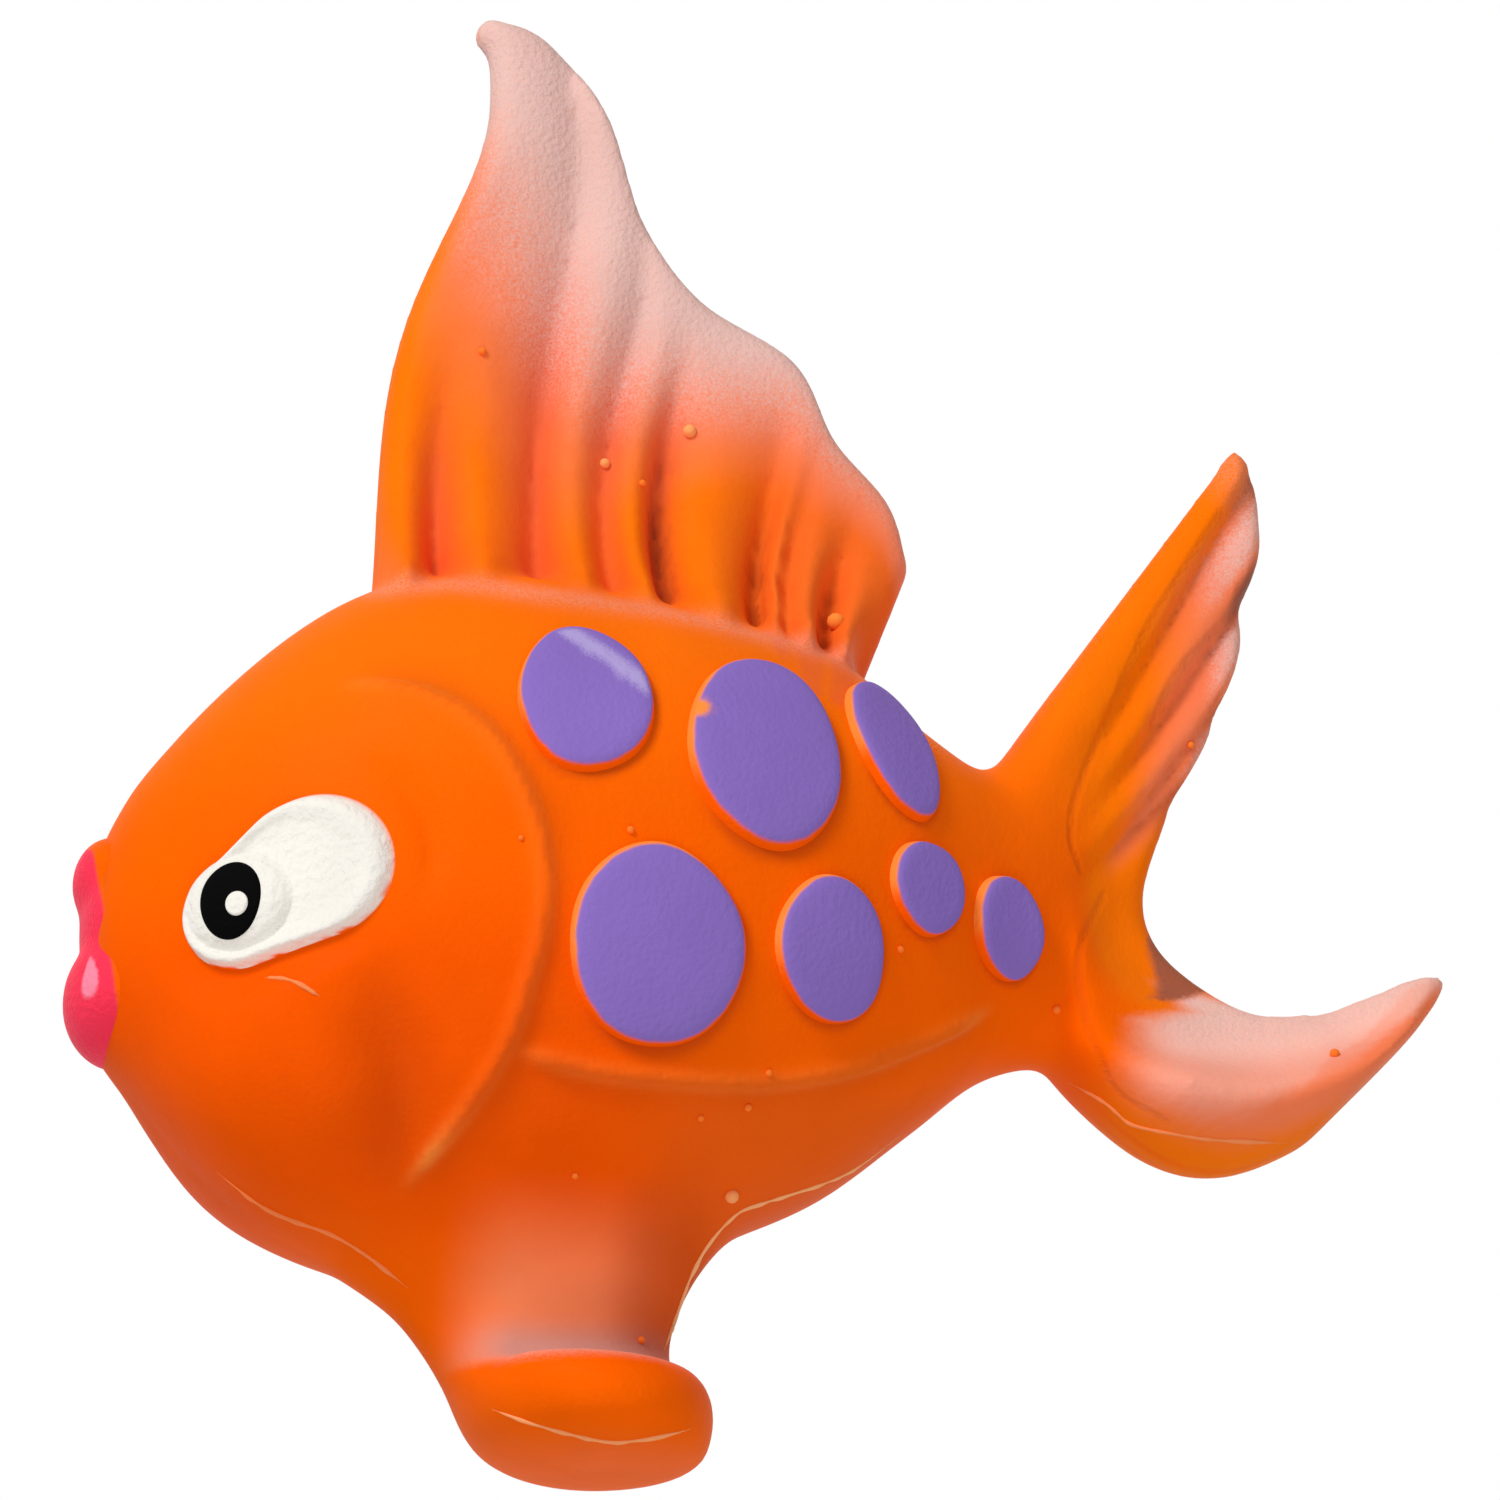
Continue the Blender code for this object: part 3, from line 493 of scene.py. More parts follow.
ORANGE = srgb(252, 98, 0)
FIN_ORANGE = srgb(255, 118, 5)
LIT_BACK_ORANGE = srgb(255, 112, 6)
SHADED_CHEEK_ORANGE = srgb(244, 86, 0)
LIT_NECK_SALMON = srgb(255, 148, 100)
SALMON = srgb(247, 126, 82)
PALE = srgb(229, 187, 178)
LIT_SCOOP_PINK = srgb(255, 196, 180)
ROSE_AND_SHADE = srgb(228, 92, 58)
SHADE = srgb(150, 52, 20)
BELLY_SHADE_AND_PINK = srgb(228, 92, 25)
SHADED_PINK = srgb(206, 150, 138)
SHADOW_BROWN = srgb(146, 88, 72)
CREASE_SHADE_BROWN = srgb(165, 62, 36)
FLASH = srgb(255, 182, 125)
PALE_LIT_PIP = srgb(255, 165, 100)
LIT_SMALL_PIP = srgb(255, 126, 46)
LIT = srgb(255, 145, 60)
PURPLE = srgb(138, 109, 191)
PINK = srgb(255, 56, 86)
HIGHLIGHT_PINK = srgb(255, 140, 165)
EYE_WHITE = srgb(240, 236, 227)
BLACK = srgb(10, 10, 10)
WORN_PURPLE = srgb(176, 158, 214)
FIBRE_WHITE = srgb(240, 240, 236)
PLASTIC_WHITE = srgb(238, 238, 234)
PLASTIC_GREY = srgb(206, 208, 210)
FILM = srgb(225, 230, 232)

# Pips by their least radius. Their paler colours are partly pale latex and partly painted highlight on the
# bumps.
PIP_COLOURS = ((0.6, LIT), (0.4, PALE_LIT_PIP), (0.0, LIT_SMALL_PIP))

# Coats of paint: colour, strength, mask, and ramps over fields. On a fin, u and v are the shares across and
# along its rays, and inner is the distance from its rim. The field low is the height over a line that rises
# towards the tail. Some coats are painted light or painted shade, as marked beside them.
BELLY_RISE = 0.12
BODY_COATS = (
    # Duller lower rear belly: painted shade with a little pink overspray
    (BELLY_SHADE_AND_PINK, 0.55, "all", ("x", -6, 6), ("x", 36, 30), ("low", 27, 22), ("z", 12, 16)),
    # Yellower orange on the back: painted light on the top of the body
    (LIT_BACK_ORANGE, 1.0, "all", ("z", 42, 58)),
    # Darker orange low on the front of the head: painted shade
    (SHADED_CHEEK_ORANGE, 1.0, "all", ("z", 42, 32), ("z", 13, 19), ("x", 8, -4)),
)
FOOT_COATS = (
    # Pale salmon on the neck's front: salmon overspray made paler as painted light
    (LIT_NECK_SALMON, 0.85, "all", ("x", -13, -6), ("x", 8, -1), ("y", -0.5, -2.5), ("z", 6.0, 7.0), ("z", 20, 11)),
    # Grey-pink band over the foot's lip: pink overspray greyed by painted shade
    (SHADED_PINK, 1.0, "all", ("x", -12, -6), ("x", 10, 2), ("y", -0.5, -2.5), ("z", 6.3, 7.2), ("z", 11, 7.5)),
    # Brown on the neck's tail side: painted shade
    (SHADE, 0.35, "all", ("x", -1, 4), ("x", 10, 6), ("z", 7, 9), ("z", 22, 15)),
)
FIN_COATS = (
    (FIN_ORANGE, 1.0, "on", ("v", 0.12, 0.3)),
    # Rose on the rear of the fin and in its valleys: rose overspray, partly painted shade
    (ROSE_AND_SHADE, 0.4, "on", ("u", 0.5, 0.7)),
    (SALMON, 1.0, "band", ("depth", 1.35, 0.7)),
    (ROSE_AND_SHADE, 1.3, "taken", ("u", 0.55, 0.45), ("v", 0.9, 0.5)),
    # Dark in the deepest valleys: painted shade
    (SHADE, 0.85, "all", ("taken", 0.25, 0.75), ("u", 0.42, 0.46), ("v", 0.7, 0.3), ("v", 0.1, 0.16)),
)
TAIL_COATS = (
    (FIN_ORANGE, 1.0, "on", ("v", 0.05, 0.3)),
    (SALMON, 1.0, "on", ("u", 0.05, 0.11), ("u", 0.44, 0.36), ("v", 0.3, 0.6), ("inner", 18, 6)),
)
SCOOP_COATS = (
    (SALMON, 1.0, "on", ("u", 0.62, 0.68), ("u", 0.995, 0.96), ("past_start", 0, 0.2)),
    # Pink in the scoop: pink overspray made paler as painted light
    (LIT_SCOOP_PINK, 1.0, "tint"),
    # Brown on the web between the lobes: painted shade
    (SHADOW_BROWN, 0.85, "web"),
)

# Masks as ramps over the same fields: the foot's pale crest, which is overspray with a painted highlight, the
# fin's bare leading edge, the fuzz along the shoulders, and the tail's tip, web, scoop and the crest of that
# scoop
FOOT_CREST = (
    ("x", -12, -6), ("x", 10, 2), ("y", -0.5, -2.5), ("z", 5.6, 6.6), ("z", 7.6, 6.9), ("y", -7, -9.5),
)
BARE_EDGE = (("u", 0.05, 0.0), ("inner", 5, 24))
FUZZ_ENDS = (("x", -20, -17), ("x", 22, 19))
TAIL_TIP = (("u", 0.2, 0.0), ("inner", 6, 1))
WEB = (("u", 0.52, 0.55), ("u", 0.73, 0.70), ("past_near", 0, 0.08), ("before_far", 0, 0.08))
SCOOP = (("u", 0.62, 0.68), ("past_start", 0, 0.2), ("past_edge", 0.012, -0.03))
CREST = (("u", 0.79, 0.83), ("past_crest", 0, 0.05))

# How pale the overspray is there, and the bell of the fuzz across the shoulder line
CREST_PALE = 0.3
FUZZ_PALE = 0.2
FUZZ_BELL = (0.3, 1.3)
TIP_PALE = 0.15

# Pink and pale spray of the scoop: strength at the keel, what a ramp across the rays adds, that ramp, and
# what the crest takes
SCOOP_TINT = (0.4, 0.6, (0.93, 0.85), 0.35)
SCOOP_PALE = (0.1, 0.5, (0.88, 0.8), 0.5)

# Painted shade beside the moulded lines and on the cheek, and a painted highlight on a line's crest: strength
# and reach. Last the shares of a line over which they fade at its first and last end.
LINE_SHADE, LINE_SHADE_REACH = 0.22, 2.2
CHEEK_SHADE, CHEEK_SHADE_REACH = 0.22, 3.2
LINE_LIGHT, LINE_LIGHT_REACH = 0.9, 0.6
LINE_ENDS = (0.15, 0.1)
CHEEK_ENDS = (0.4, 0.3)

# Painted shadow round a spot: strength, and ramps over shares of its outline and over the way downhill
SPOT_SHADE = 0.5
SPOT_SHADE_REACH = (1.2, 1.0)
SPOT_SHADE_SIDE = (-0.1, 0.6)

# Edge of the paint on a spot and on the eye's white: ramps over shares of the outline, and how ragged it is.
# The wall of a spot has a painted highlight on its uphill side. Only the lower edge of the eye is ragged.
SPOT_EDGE, SPOT_RAGGED = (0.945, 0.985), 0.012
SPOT_RAGGED_SCALE = 0.9
SPOT_LIT = (0.1, -0.7)
EYE_EDGE, EYE_RAGGED = (0.97, 0.99), 0.05
EYE_RAGGED_Z = (40, 36)
EYE_RAGGED_SCALE = 0.8

# Ramp over the distance from a fin's grid within which a place counts as part of the fin
ON_FIN = (1.3, 0.5)


def smooth(rows, places):
    """A smooth curve through rows of (place, value, ...), read at the given places."""
    rows = np.array(rows, dtype=float)
    places = np.asarray(places, dtype=float)
    knots, values = rows[:, 0], rows[:, 1:]
    slopes = np.gradient(values, knots, axis=0)
    left = np.clip(np.searchsorted(knots, places) - 1, 0, len(knots) - 2)
    span = (knots[left + 1] - knots[left])[..., None]
    t = (places - knots[left])[..., None] / span
    return (
        (2 * t**3 - 3 * t**2 + 1) * values[left]
        + (t**3 - 2 * t**2 + t) * span * slopes[left]
        + (3 * t**2 - 2 * t**3) * values[left + 1]
        + (t**3 - t**2) * span * slopes[left + 1]
    )


def spaced(rows, shares):
    """Evenly spaced rows, blended smoothly at the given shares of the way from first to last."""
    return smooth(np.column_stack([np.linspace(0, 1, len(rows)), np.array(rows)]), shares)


def step(low, high, value):
    """0 below low, 1 above high, with a smooth change between. Low may be the larger one."""
    t = np.clip((np.asarray(value, dtype=float) - low) / (high - low), 0, 1)
    return t * t * (3 - 2 * t)


def between(first, last, share):
    """The value at a share of the way from first to last."""
    return first + (last - first) * share


def bell(middle, reach, value):
    """1 at the middle, falling smoothly to almost 0 at twice the reach from it."""
    return np.exp(-(((value - middle) / reach) ** 2))


def ends(along, first, last):
    """1 along the middle of a line, fading to 0 over the given shares of it at its first and last end."""
    return step(0, first, along) * step(1, 1 - last, along)


def on_line(line, value):
    """A line of (place, height) rows, read at the given values."""
    return np.interp(value, *np.array(line).T)


def ragged(places, scale):
    """Noise at each place, from -1 to 1."""
    return np.array([noise.noise(Vector(place) * scale) for place in places])


def body_x(along):
    return NOSE_X + np.asarray(along) * BODY_LENGTH


def body_z(up):
    return BELLY_HEIGHT + np.asarray(up) * BODY_HEIGHT


def body_place(share):
    """X and Z of a place given along and up the body as shares."""
    return np.array([float(body_x(share[0])), float(body_z(share[1]))])


def section(x):
    """Middle height, half height and half width of the body at x."""
    along = np.clip((np.asarray(x, dtype=float) - NOSE_X) / BODY_LENGTH, 0, 1)
    top, bottom, half_width = np.moveaxis(smooth(BODY_STATIONS, along), -1, 0)
    top, bottom = body_z(top), body_z(bottom)
    return (top + bottom) / 2, (top - bottom) / 2, half_width * BODY_WIDTH / 2


def back_z(x):
    """Height of the body's back at x."""
    middle, half_height, _ = section(x)
    return middle + half_height


def flank(x, z):
    """Half width of the body's surface at x and z."""
    middle, half_height, half_width = section(x)
    share = np.clip(np.abs((z - middle) / half_height), 0, 0.999)
    return half_width * (1 - share**SECTION_POWER) ** (1 / SECTION_POWER)


def flank_points(x, z, side, lift):
    """Points on the flank at x and z, lifted off it along its normal. Side -1 is the left one."""
    x, z = np.asarray(x, dtype=float), np.asarray(z, dtype=float)
    reach = 0.05
    slope_x = (flank(x + reach, z) - flank(x - reach, z)) / (2 * reach)
    slope_z = (flank(x, z + reach) - flank(x, z - reach)) / (2 * reach)
    normal = np.stack([-slope_x, np.full_like(x, side), -slope_z], axis=-1)
    normal /= np.linalg.norm(normal, axis=-1, keepdims=True)
    return np.stack([x, side * flank(x, z), z], axis=-1) + normal * np.asarray(lift)[..., None]


def added(name, data):
    """A new object in the scene."""
    thing = bpy.data.objects.new(name, data)
    bpy.context.scene.collection.objects.link(thing)
    return thing


@contextlib.contextmanager
def edited(mesh):
    """A mesh opened for edits, which are written back at the end."""
    shape = bmesh.new()
    shape.from_mesh(mesh)
    yield shape
    shape.to_mesh(mesh)
    shape.free()


def loft_faces(rings, sides):
    """Faces of a closed loft over rings of points, with flat ends."""
    faces = [tuple(range(sides)), tuple((rings - 1) * sides + k for k in range(sides))]
    for ring in range(rings - 1):
        low, high = ring * sides, (ring + 1) * sides
        for k in range(sides):
            after = (k + 1) % sides
            faces.append((low + k, low + after, high + after, high + k))
    return faces


def new_object(name, points, faces):
    """A smooth mesh object from points in millimetres, with outward faces."""
    mesh = bpy.data.meshes.new(name)
    mesh.from_pydata([tuple(p) for p in np.asarray(points, dtype=float) * MM], [], faces)
    with edited(mesh) as shape:
        bmesh.ops.recalc_face_normals(shape, faces=shape.faces)
    mesh.shade_smooth()
    return added(name, mesh)


def ball(name, subdivisions, radius, centre=(0, 0, 0)):
    """A smooth sphere of triangles, in metres."""
    mesh = bpy.data.meshes.new(name)
    with edited(mesh) as shape:
        bmesh.ops.create_icosphere(shape, subdivisions=subdivisions, radius=radius)
        bmesh.ops.translate(shape, verts=shape.verts, vec=centre)
    mesh.shade_smooth()
    return added(name, mesh)


def ellipsoid(name, centre, radii):
    """A closed ellipsoid."""
    thing = ball(name, subdivisions=5, radius=1)
    set_places(thing.data, places_of(thing.data) * MM * np.array(radii) + np.array(centre))
    return thing


def places_of(mesh):
    """Vertex places of a mesh in millimetres."""
    places = np.empty(3 * len(mesh.vertices))
    mesh.vertices.foreach_get("co", places)
    return places.reshape(-1, 3) / MM


def set_places(mesh, places):
    mesh.vertices.foreach_set("co", (np.asarray(places) * MM).ravel())
    mesh.update()


def normals_of(mesh):
    normals = np.empty(3 * len(mesh.vertices))
    mesh.vertex_normals.foreach_get("vector", normals)
    return normals.reshape(-1, 3)


def settle(thing):
    """Replace an object's mesh by what its modifiers make of it."""
    bpy.context.view_layer.update()
    graph = bpy.context.evaluated_depsgraph_get()
    mesh = bpy.data.meshes.new_from_object(thing.evaluated_get(graph))
    thing.modifiers.clear()
    thing.data = mesh
    mesh.shade_smooth()


def fuse(name, parts, voxel):
    """Melt overlapping closed forms into one even mesh."""
    mesh = bpy.data.meshes.new(name)
    with edited(mesh) as whole:
        for part in parts:
            whole.from_mesh(part.data)
            bpy.data.objects.remove(part, do_unlink=True)
    thing = added(name, mesh)
    remesh = thing.modifiers.new("fuse", "REMESH")
    remesh.mode = "VOXEL"
    remesh.voxel_size = voxel * MM
    settle(thing)
    return thing


def cut(thing, tool, operation):
    """Join a tool to a closed mesh, or cut it away, and drop the tool."""
    change = thing.modifiers.new(tool.name, "BOOLEAN")
    change.operation = operation
    change.solver = "MANIFOLD"
    change.object = tool
    settle(thing)
    bpy.data.objects.remove(tool, do_unlink=True)


def split_large_faces(mesh):
    """Split faces of many corners, which cuts leave behind, into well-shaped triangles."""
    with edited(mesh) as shape:
        large = [face for face in shape.faces if len(face.verts) > 4]
        bmesh.ops.triangulate(shape, faces=large, ngon_method="BEAUTY")


def relax(mesh, places, weights, rounds):
    """Ease each vertex towards the mean of its neighbours by its weight, some rounds over."""
    pairs = np.empty(2 * len(mesh.edges), dtype=int)
    mesh.edges.foreach_get("vertices", pairs)
    a, b = pairs.reshape(-1, 2).T
    count = len(places)
    degree = np.maximum(np.bincount(np.concatenate([a, b]), minlength=count), 1)
    for _ in range(rounds):
        mean = np.empty_like(places)
        for k in range(3):
            total = np.bincount(a, places[b, k], count) + np.bincount(b, places[a, k], count)
            mean[:, k] = total / degree
        places = places + weights[:, None] * (mean - places)
    return places


def nearest(samples, places):
    """Distance from each place to the nearest sample, and that sample's number."""
    tree = kdtree.KDTree(len(samples))
    for k, sample in enumerate(samples):
        tree.insert(sample, k)
    tree.balance()
    found = [tree.find(place) for place in places]
    return np.array([hit[2] for hit in found]), np.array([hit[1] for hit in found])


def body_loft(name, inset, first, last, rings, sides):
    """The body's egg, drawn in by an inset, from one share of its length to another."""
    along = np.linspace(first, last, rings)
    middle, half_height, half_width = (part[:, None] for part in section(body_x(along)))
    angle = np.linspace(0, 2 * math.pi, sides, endpoint=False)[None, :]
    bend = 2 / SECTION_POWER
    y = (half_width - inset) * np.sign(np.cos(angle)) * np.abs(np.cos(angle)) ** bend
    z = middle + (half_height - inset) * np.sign(np.sin(angle)) * np.abs(np.sin(angle)) ** bend
    x = np.broadcast_to(body_x(along)[:, None], y.shape)
    return new_object(name, np.stack([x, y, z], -1).reshape(-1, 3), loft_faces(rings, sides))


def rounded(distance, radius):
    """Share of the full thickness at a distance from a rounded edge."""
    inside = np.clip(distance / radius, 0, 1)
    return np.sqrt(1 - (1 - inside) ** 2)


def valleys(u, v):
    """Share of the dorsal fin's thickness that the valleys between its rolls take away."""
    taken = 0.0
    for at_root, at_rim, before, behind, depth, end in FIN_VALLEYS:
        away = u - between(at_root, at_rim, step(*FIN_VALLEY_BEND, v))
        share = np.clip(1 - np.abs(away) / np.where(away < 0, before, behind), 0, 1)
        taken = np.maximum(taken, depth * share**2 * step(end, end - FIN_VALLEY_FADE, v))
    return taken


def flared(u, x, z, half, left):
    """Half thickness with the rolls flared over the body's shoulders, down to their rounded ends."""
    above = z - back_z(x)
    flare = FIN_FLARE * np.exp(-np.maximum(above, 0) / FIN_FLARE_HEIGHT)
    flare = flare + FIN_FLARE_SLOPE * np.maximum(-above, 0)
    wide = (half + flare * step(*FIN_FLARE_END, u)) * left
    end = step(*FIN_ROLL_END, z - on_line(SHOULDER_LINE, x) - FIN_ROLL_ARCH * (1 - left))
    sunk = np.minimum(wide, flank(x, z) - FIN_ROLL_SINK)
    return np.where(above < FIN_ROLL_TOP, between(sunk, wide, end), wide)


def fin_grid(across, steps):
    """X and Z of the dorsal fin over a grid of rays and steps, its half thickness, and its rim's radius."""
    u, v = across[:, None], steps[None, :]
    root, tip_along, tip_up = (part[:, None] for part in spaced(FIN_RAYS, across).T)
    start_x = float(body_x(FIN_START))
    root_x = start_x + root * FIN_BASE
    root_z = back_z(root_x) - FIN_SINK
    tip_x, tip_z = start_x + tip_along * FIN_BASE, back_z(start_x) + tip_up * FIN_HEIGHT
    sway = FIN_SWAY * (1 - u) * np.sin(2 * math.pi * v**FIN_SWAY_POWER)
    x, z = between(root_x, tip_x, v) - sway, between(root_z, tip_z, v)
    half = between(FIN_ROOT_THICKNESS, FIN_EDGE_THICKNESS, v) / 2
    return x, z, flared(u, x, z, half, 1 - valleys(u, v)), FIN_EDGE_THICKNESS / 2


def folds(u, v):
    """Share of the tail's thickness that its overlapping folds leave, and how ragged they make its rim."""
    left, scallop = np.ones_like(u), np.zeros_like(u)
    for at_root, at_rim, depth in TAIL_STEPS:
        place = between(at_root, at_rim, v)
        past = u - place
        tongue = bell(*FOLD_TONGUE, past) - bell(*FOLD_NOTCH, past)
        scallop = scallop + TAIL_SCALLOP * step(*FOLD_RAGGED, place) * tongue
        behind = np.clip(past / TAIL_FOLD, 0, 1)
        left = left - depth * np.where(past < 0, bell(0, FOLD_LIP, past), (1 - behind) ** FOLD_CURVE)
    return left, scallop


def tail_grid(across, steps):
    """X and Z of the tail over a grid of rays and steps, its half thickness, and its rim's radius."""
    u, v = across[:, None], steps[None, :]
    along, up, tip_along, tip_up = (part[:, None] for part in spaced(TAIL_RAYS, across).T)
    left, scallop = folds(u, v)
    reach = v * (1 + scallop)
    sag = TAIL_SAG * np.clip((u - TAIL_SAG_START) / (1 - TAIL_SAG_START), 0, 1) * np.sin(math.pi * v)
    x = float(body_x(TAIL_START)) + between(along, tip_along, reach) * TAIL_LENGTH
    z = float(body_z(TAIL_FOOT)) + between(up, tip_up, reach) * TAIL_HEIGHT - sag
    swell = (TAIL_ROOT_THICKNESS - TAIL_THICKNESS) * (1 - v) ** TAIL_ROOT_FADE
    flare = (RIM_WIDTH - TAIL_THICKNESS) * bell(RIM_PLACE, RIM_SPREAD, u)
    thickness = TAIL_THICKNESS * np.maximum(left, TAIL_LEAST) + swell + flare * np.minimum(1, v / RIM_FULL)
    return x, z, thickness / 2, TAIL_THICKNESS / 2


def fin_faces(count, steps_count):
    """Faces of a fin's left and right grids of points, and of the strip that closes them at the root."""
    left, right = np.arange(2 * count * steps_count).reshape(2, count, steps_count).tolist()
    faces = []
    for i in range(count - 1):
        for grid in (left, right):
            here, there = grid[i], grid[i + 1]
            faces += zip(here, there, there[1:], here[1:])
        faces.append((left[i][0], left[i + 1][0], right[i + 1][0], right[i][0]))
    return faces


def fin(name, grid, count, steps_count):
    """A closed fin from a grid function, and its left face's points with their places on the grid.

    The places are shares across and along the rays, then the distance from the rim.
    """
    across = np.linspace(0, 1, count)
    steps = 1 - (1 - np.linspace(0, 1, steps_count)) ** FIN_STEP_POWER
    x, z, half, radius = grid(across, steps)
    plan = np.stack([x, z], -1)
    first, last, rim = (
        np.linalg.norm(plan - edge, axis=-1) for edge in (plan[:1], plan[-1:], plan[:, -1:])
    )
    half = half * rounded(np.min([first, last, rim], axis=0), radius)
    left, right = (np.stack([x, side * half, z], -1).reshape(-1, 3) for side in (-1, 1))
    thing = new_object(name, np.concatenate([left, right]), fin_faces(count, steps_count))
    with edited(thing.data) as shape:
        bmesh.ops.remove_doubles(shape, verts=shape.verts, dist=WELD * MM)
        bmesh.ops.recalc_face_normals(shape, faces=shape.faces)
    u, v = (part.ravel() for part in np.meshgrid(across, steps, indexing="ij"))
    return thing, (left, u, v, rim.ravel())


def foot(name, sides=72, rings=60):
    """The ventral fin: a neck under the belly that flares into a lipped foot."""
    rows = []
    tables = ((FOOT_SECTIONS, FOOT_LENGTH, FOOT_WIDTH), (NECK_SECTIONS, BODY_LENGTH, BODY_WIDTH))
    for table, length, width in tables:
        for height, front, rear, half_width in table:
            rows.append((height * BELLY_HEIGHT, front * length, rear * length, half_width * width / 2))
    z, front, rear, half_width = (part[:, None] for part in spaced(rows, np.linspace(0, 1, rings)).T)
    angle = np.linspace(0, 2 * math.pi, sides, endpoint=False)[None, :]
    x = (front + rear) / 2 + (rear - front) / 2 * np.cos(angle)
    y = half_width * np.sin(angle)
    z = np.maximum(np.broadcast_to(z, x.shape), 0)
    return new_object(name, np.stack([x, y, z], -1).reshape(-1, 3), loft_faces(rings, sides))


def seat_frame():
    """Place and turn of the squeaker's seat, with Z along the skin's outward normal."""
    x = float(body_x(SQUEAKER_ALONG))
    middle, half_height, _ = section(x)
    z = float(middle - half_height * math.sin(math.radians(SQUEAKER_ANGLE)) ** (2 / SECTION_POWER))
    base = Vector(flank_points(x, z, 1, 0.0))
    outward = (Vector(flank_points(x, z, 1, 1.0)) - base).normalized()
    return Matrix.Translation(base * MM) @ outward.to_track_quat("Z", "X").to_matrix().to_4x4()


def plug(name, radius, low, high, sides=64):
    """A cylinder about the squeaker's axis."""
    angles = np.linspace(0, 2 * math.pi, sides, endpoint=False)
    ring = np.stack([radius * np.cos(angles), radius * np.sin(angles)], -1)
    points = np.concatenate([np.column_stack([ring, np.full(sides, z)]) for z in (low, high)])
    thing = new_object(name, points, loft_faces(2, sides))
    thing.data.transform(seat_frame())
    return thing


def flank_path(path, count=160):
    """Points on the left flank along a smooth path in X and Z."""
    x, z = spaced(path, np.linspace(0, 1, count)).T
    return flank_points(x, z, -1, np.zeros(count))


def mirrored(places):
    """Places with both flanks laid over the left one."""
    left = places.copy()
    left[:, 1] = -np.abs(left[:, 1])
    return left


def beside(path, left):
    """Distance from a path on the left flank, share of the way along it, and whether that is to its left."""
    line = flank_path(path)
    distance, number = nearest(line, left)
    heading, offset = np.gradient(line, axis=0)[number], left - line[number]
    turn = heading[:, 0] * offset[:, 2] - heading[:, 2] * offset[:, 0]
    return distance, number / (len(line) - 1), turn > 0


def clear_of_eye(left):
    """0 under the eye, growing to 1 a little beyond its outline."""
    back, front = body_place(EYE_BACK), body_place(EYE_FRONT)
    way, offset = front - back, left[:, [0, 2]] - back
    along = np.clip(offset @ way / (way @ way), 0, 1)
    away = np.linalg.norm(offset - along[:, None] * way, axis=1)
    return step(*EYE_MARGIN, away - between(EYE_BACK_RADIUS, EYE_FRONT_RADIUS, along))


def mould_lines(places, normals):
    """Places moved along their normals by the lines and the cheek moulded into the flanks."""
    left = mirrored(places)
    cheek = flank_points(*CHEEK_CENTRE, -1, 0.0)
    lift = CHEEK_HEIGHT * bell(0, CHEEK_RADIUS, np.linalg.norm(left - cheek, axis=1))
    for height, left_reach, right_reach, path in FLANK_LINES:
        distance, along, is_left = beside(path, left)
        fade = RIDGE_FADE if height > 0 else HOLLOW_FADE
        reach = np.where(is_left, left_reach, right_reach)
        lift += height * bell(0, reach, distance) * ends(along, fade, fade)
    seat = np.array(seat_frame().translation) / MM
    clear = step(COLLAR_RADIUS, COLLAR_RADIUS + SEAT_MARGIN, np.linalg.norm(places - seat, axis=1))
    return places + normals * (lift * clear_of_eye(left) * clear)[:, None]


def eased(mesh):
    """Places of the melted form with its joins, its lower tail lobe and then all of it relaxed."""
    places = places_of(mesh)
    x, _, z = places.T
    tail = bell(*EASE_TAIL_X, x) * step(*EASE_TAIL_Z, z)
    neck = bell(*EASE_NECK_Z, z) * step(*EASE_NECK_X, np.abs(x - EASE_NECK_MIDDLE))
    nose = step(*EASE_NOSE_X, x)
    instep = step(*EASE_INSTEP_X, x) * bell(*EASE_INSTEP_Z, z)
    weights = {
        "joins": np.minimum(tail + neck + nose + instep, 1),
        "lobe": step(*EASE_LOBE_X, x) * step(*EASE_LOBE_Z, z),
        "dip": bell(*EASE_DIP_X, x) * bell(*EASE_DIP_Z, z),
        "all": np.ones(len(places)),
    }
    for name, weight in weights.items():
        places = relax(mesh, places, EASE * weight, EASE_ROUNDS[name])
    return places


def moulded_form():
    """The outer form of the skin, with eased joins, and the fin and tail grids for painting."""
    body = body_loft("body_form", 0, 0, 1, *BODY_MESH)
    dorsal, dorsal_map = fin("dorsal_form", fin_grid, *FIN_MESH)
    tail, tail_map = fin("tail_form", tail_grid, *TAIL_MESH)
    tips = [ellipsoid(f"tip_{k}", *tip) for k, tip in enumerate(BLUNT_TIPS)]
    skin = fuse("visual_skin", [body, dorsal, tail, foot("foot_form"), *tips], VOXEL)
    places = eased(skin.data)
    set_places(skin.data, places)
    set_places(skin.data, mould_lines(places, normals_of(skin.data)))
    return skin, dorsal_map, tail_map


def hollow_out(skin):
    """Cut the hollow and the squeaker's seat into the skin."""
    cut(skin, body_loft("hollow", SKIN_WALL, *HOLLOW, *HOLLOW_MESH), "DIFFERENCE")
    cut(skin, plug("collar", COLLAR_RADIUS, *COLLAR_DEPTHS), "UNION")
    cut(skin, plug("bore", BORE_RADIUS, NEST_DEPTH - OVERRUN, OVERRUN), "DIFFERENCE")
    cut(skin, plug("rebate", REBATE_RADIUS, -REBATE_DEPTH, OVERRUN), "DIFFERENCE")
    split_large_faces(skin.data)


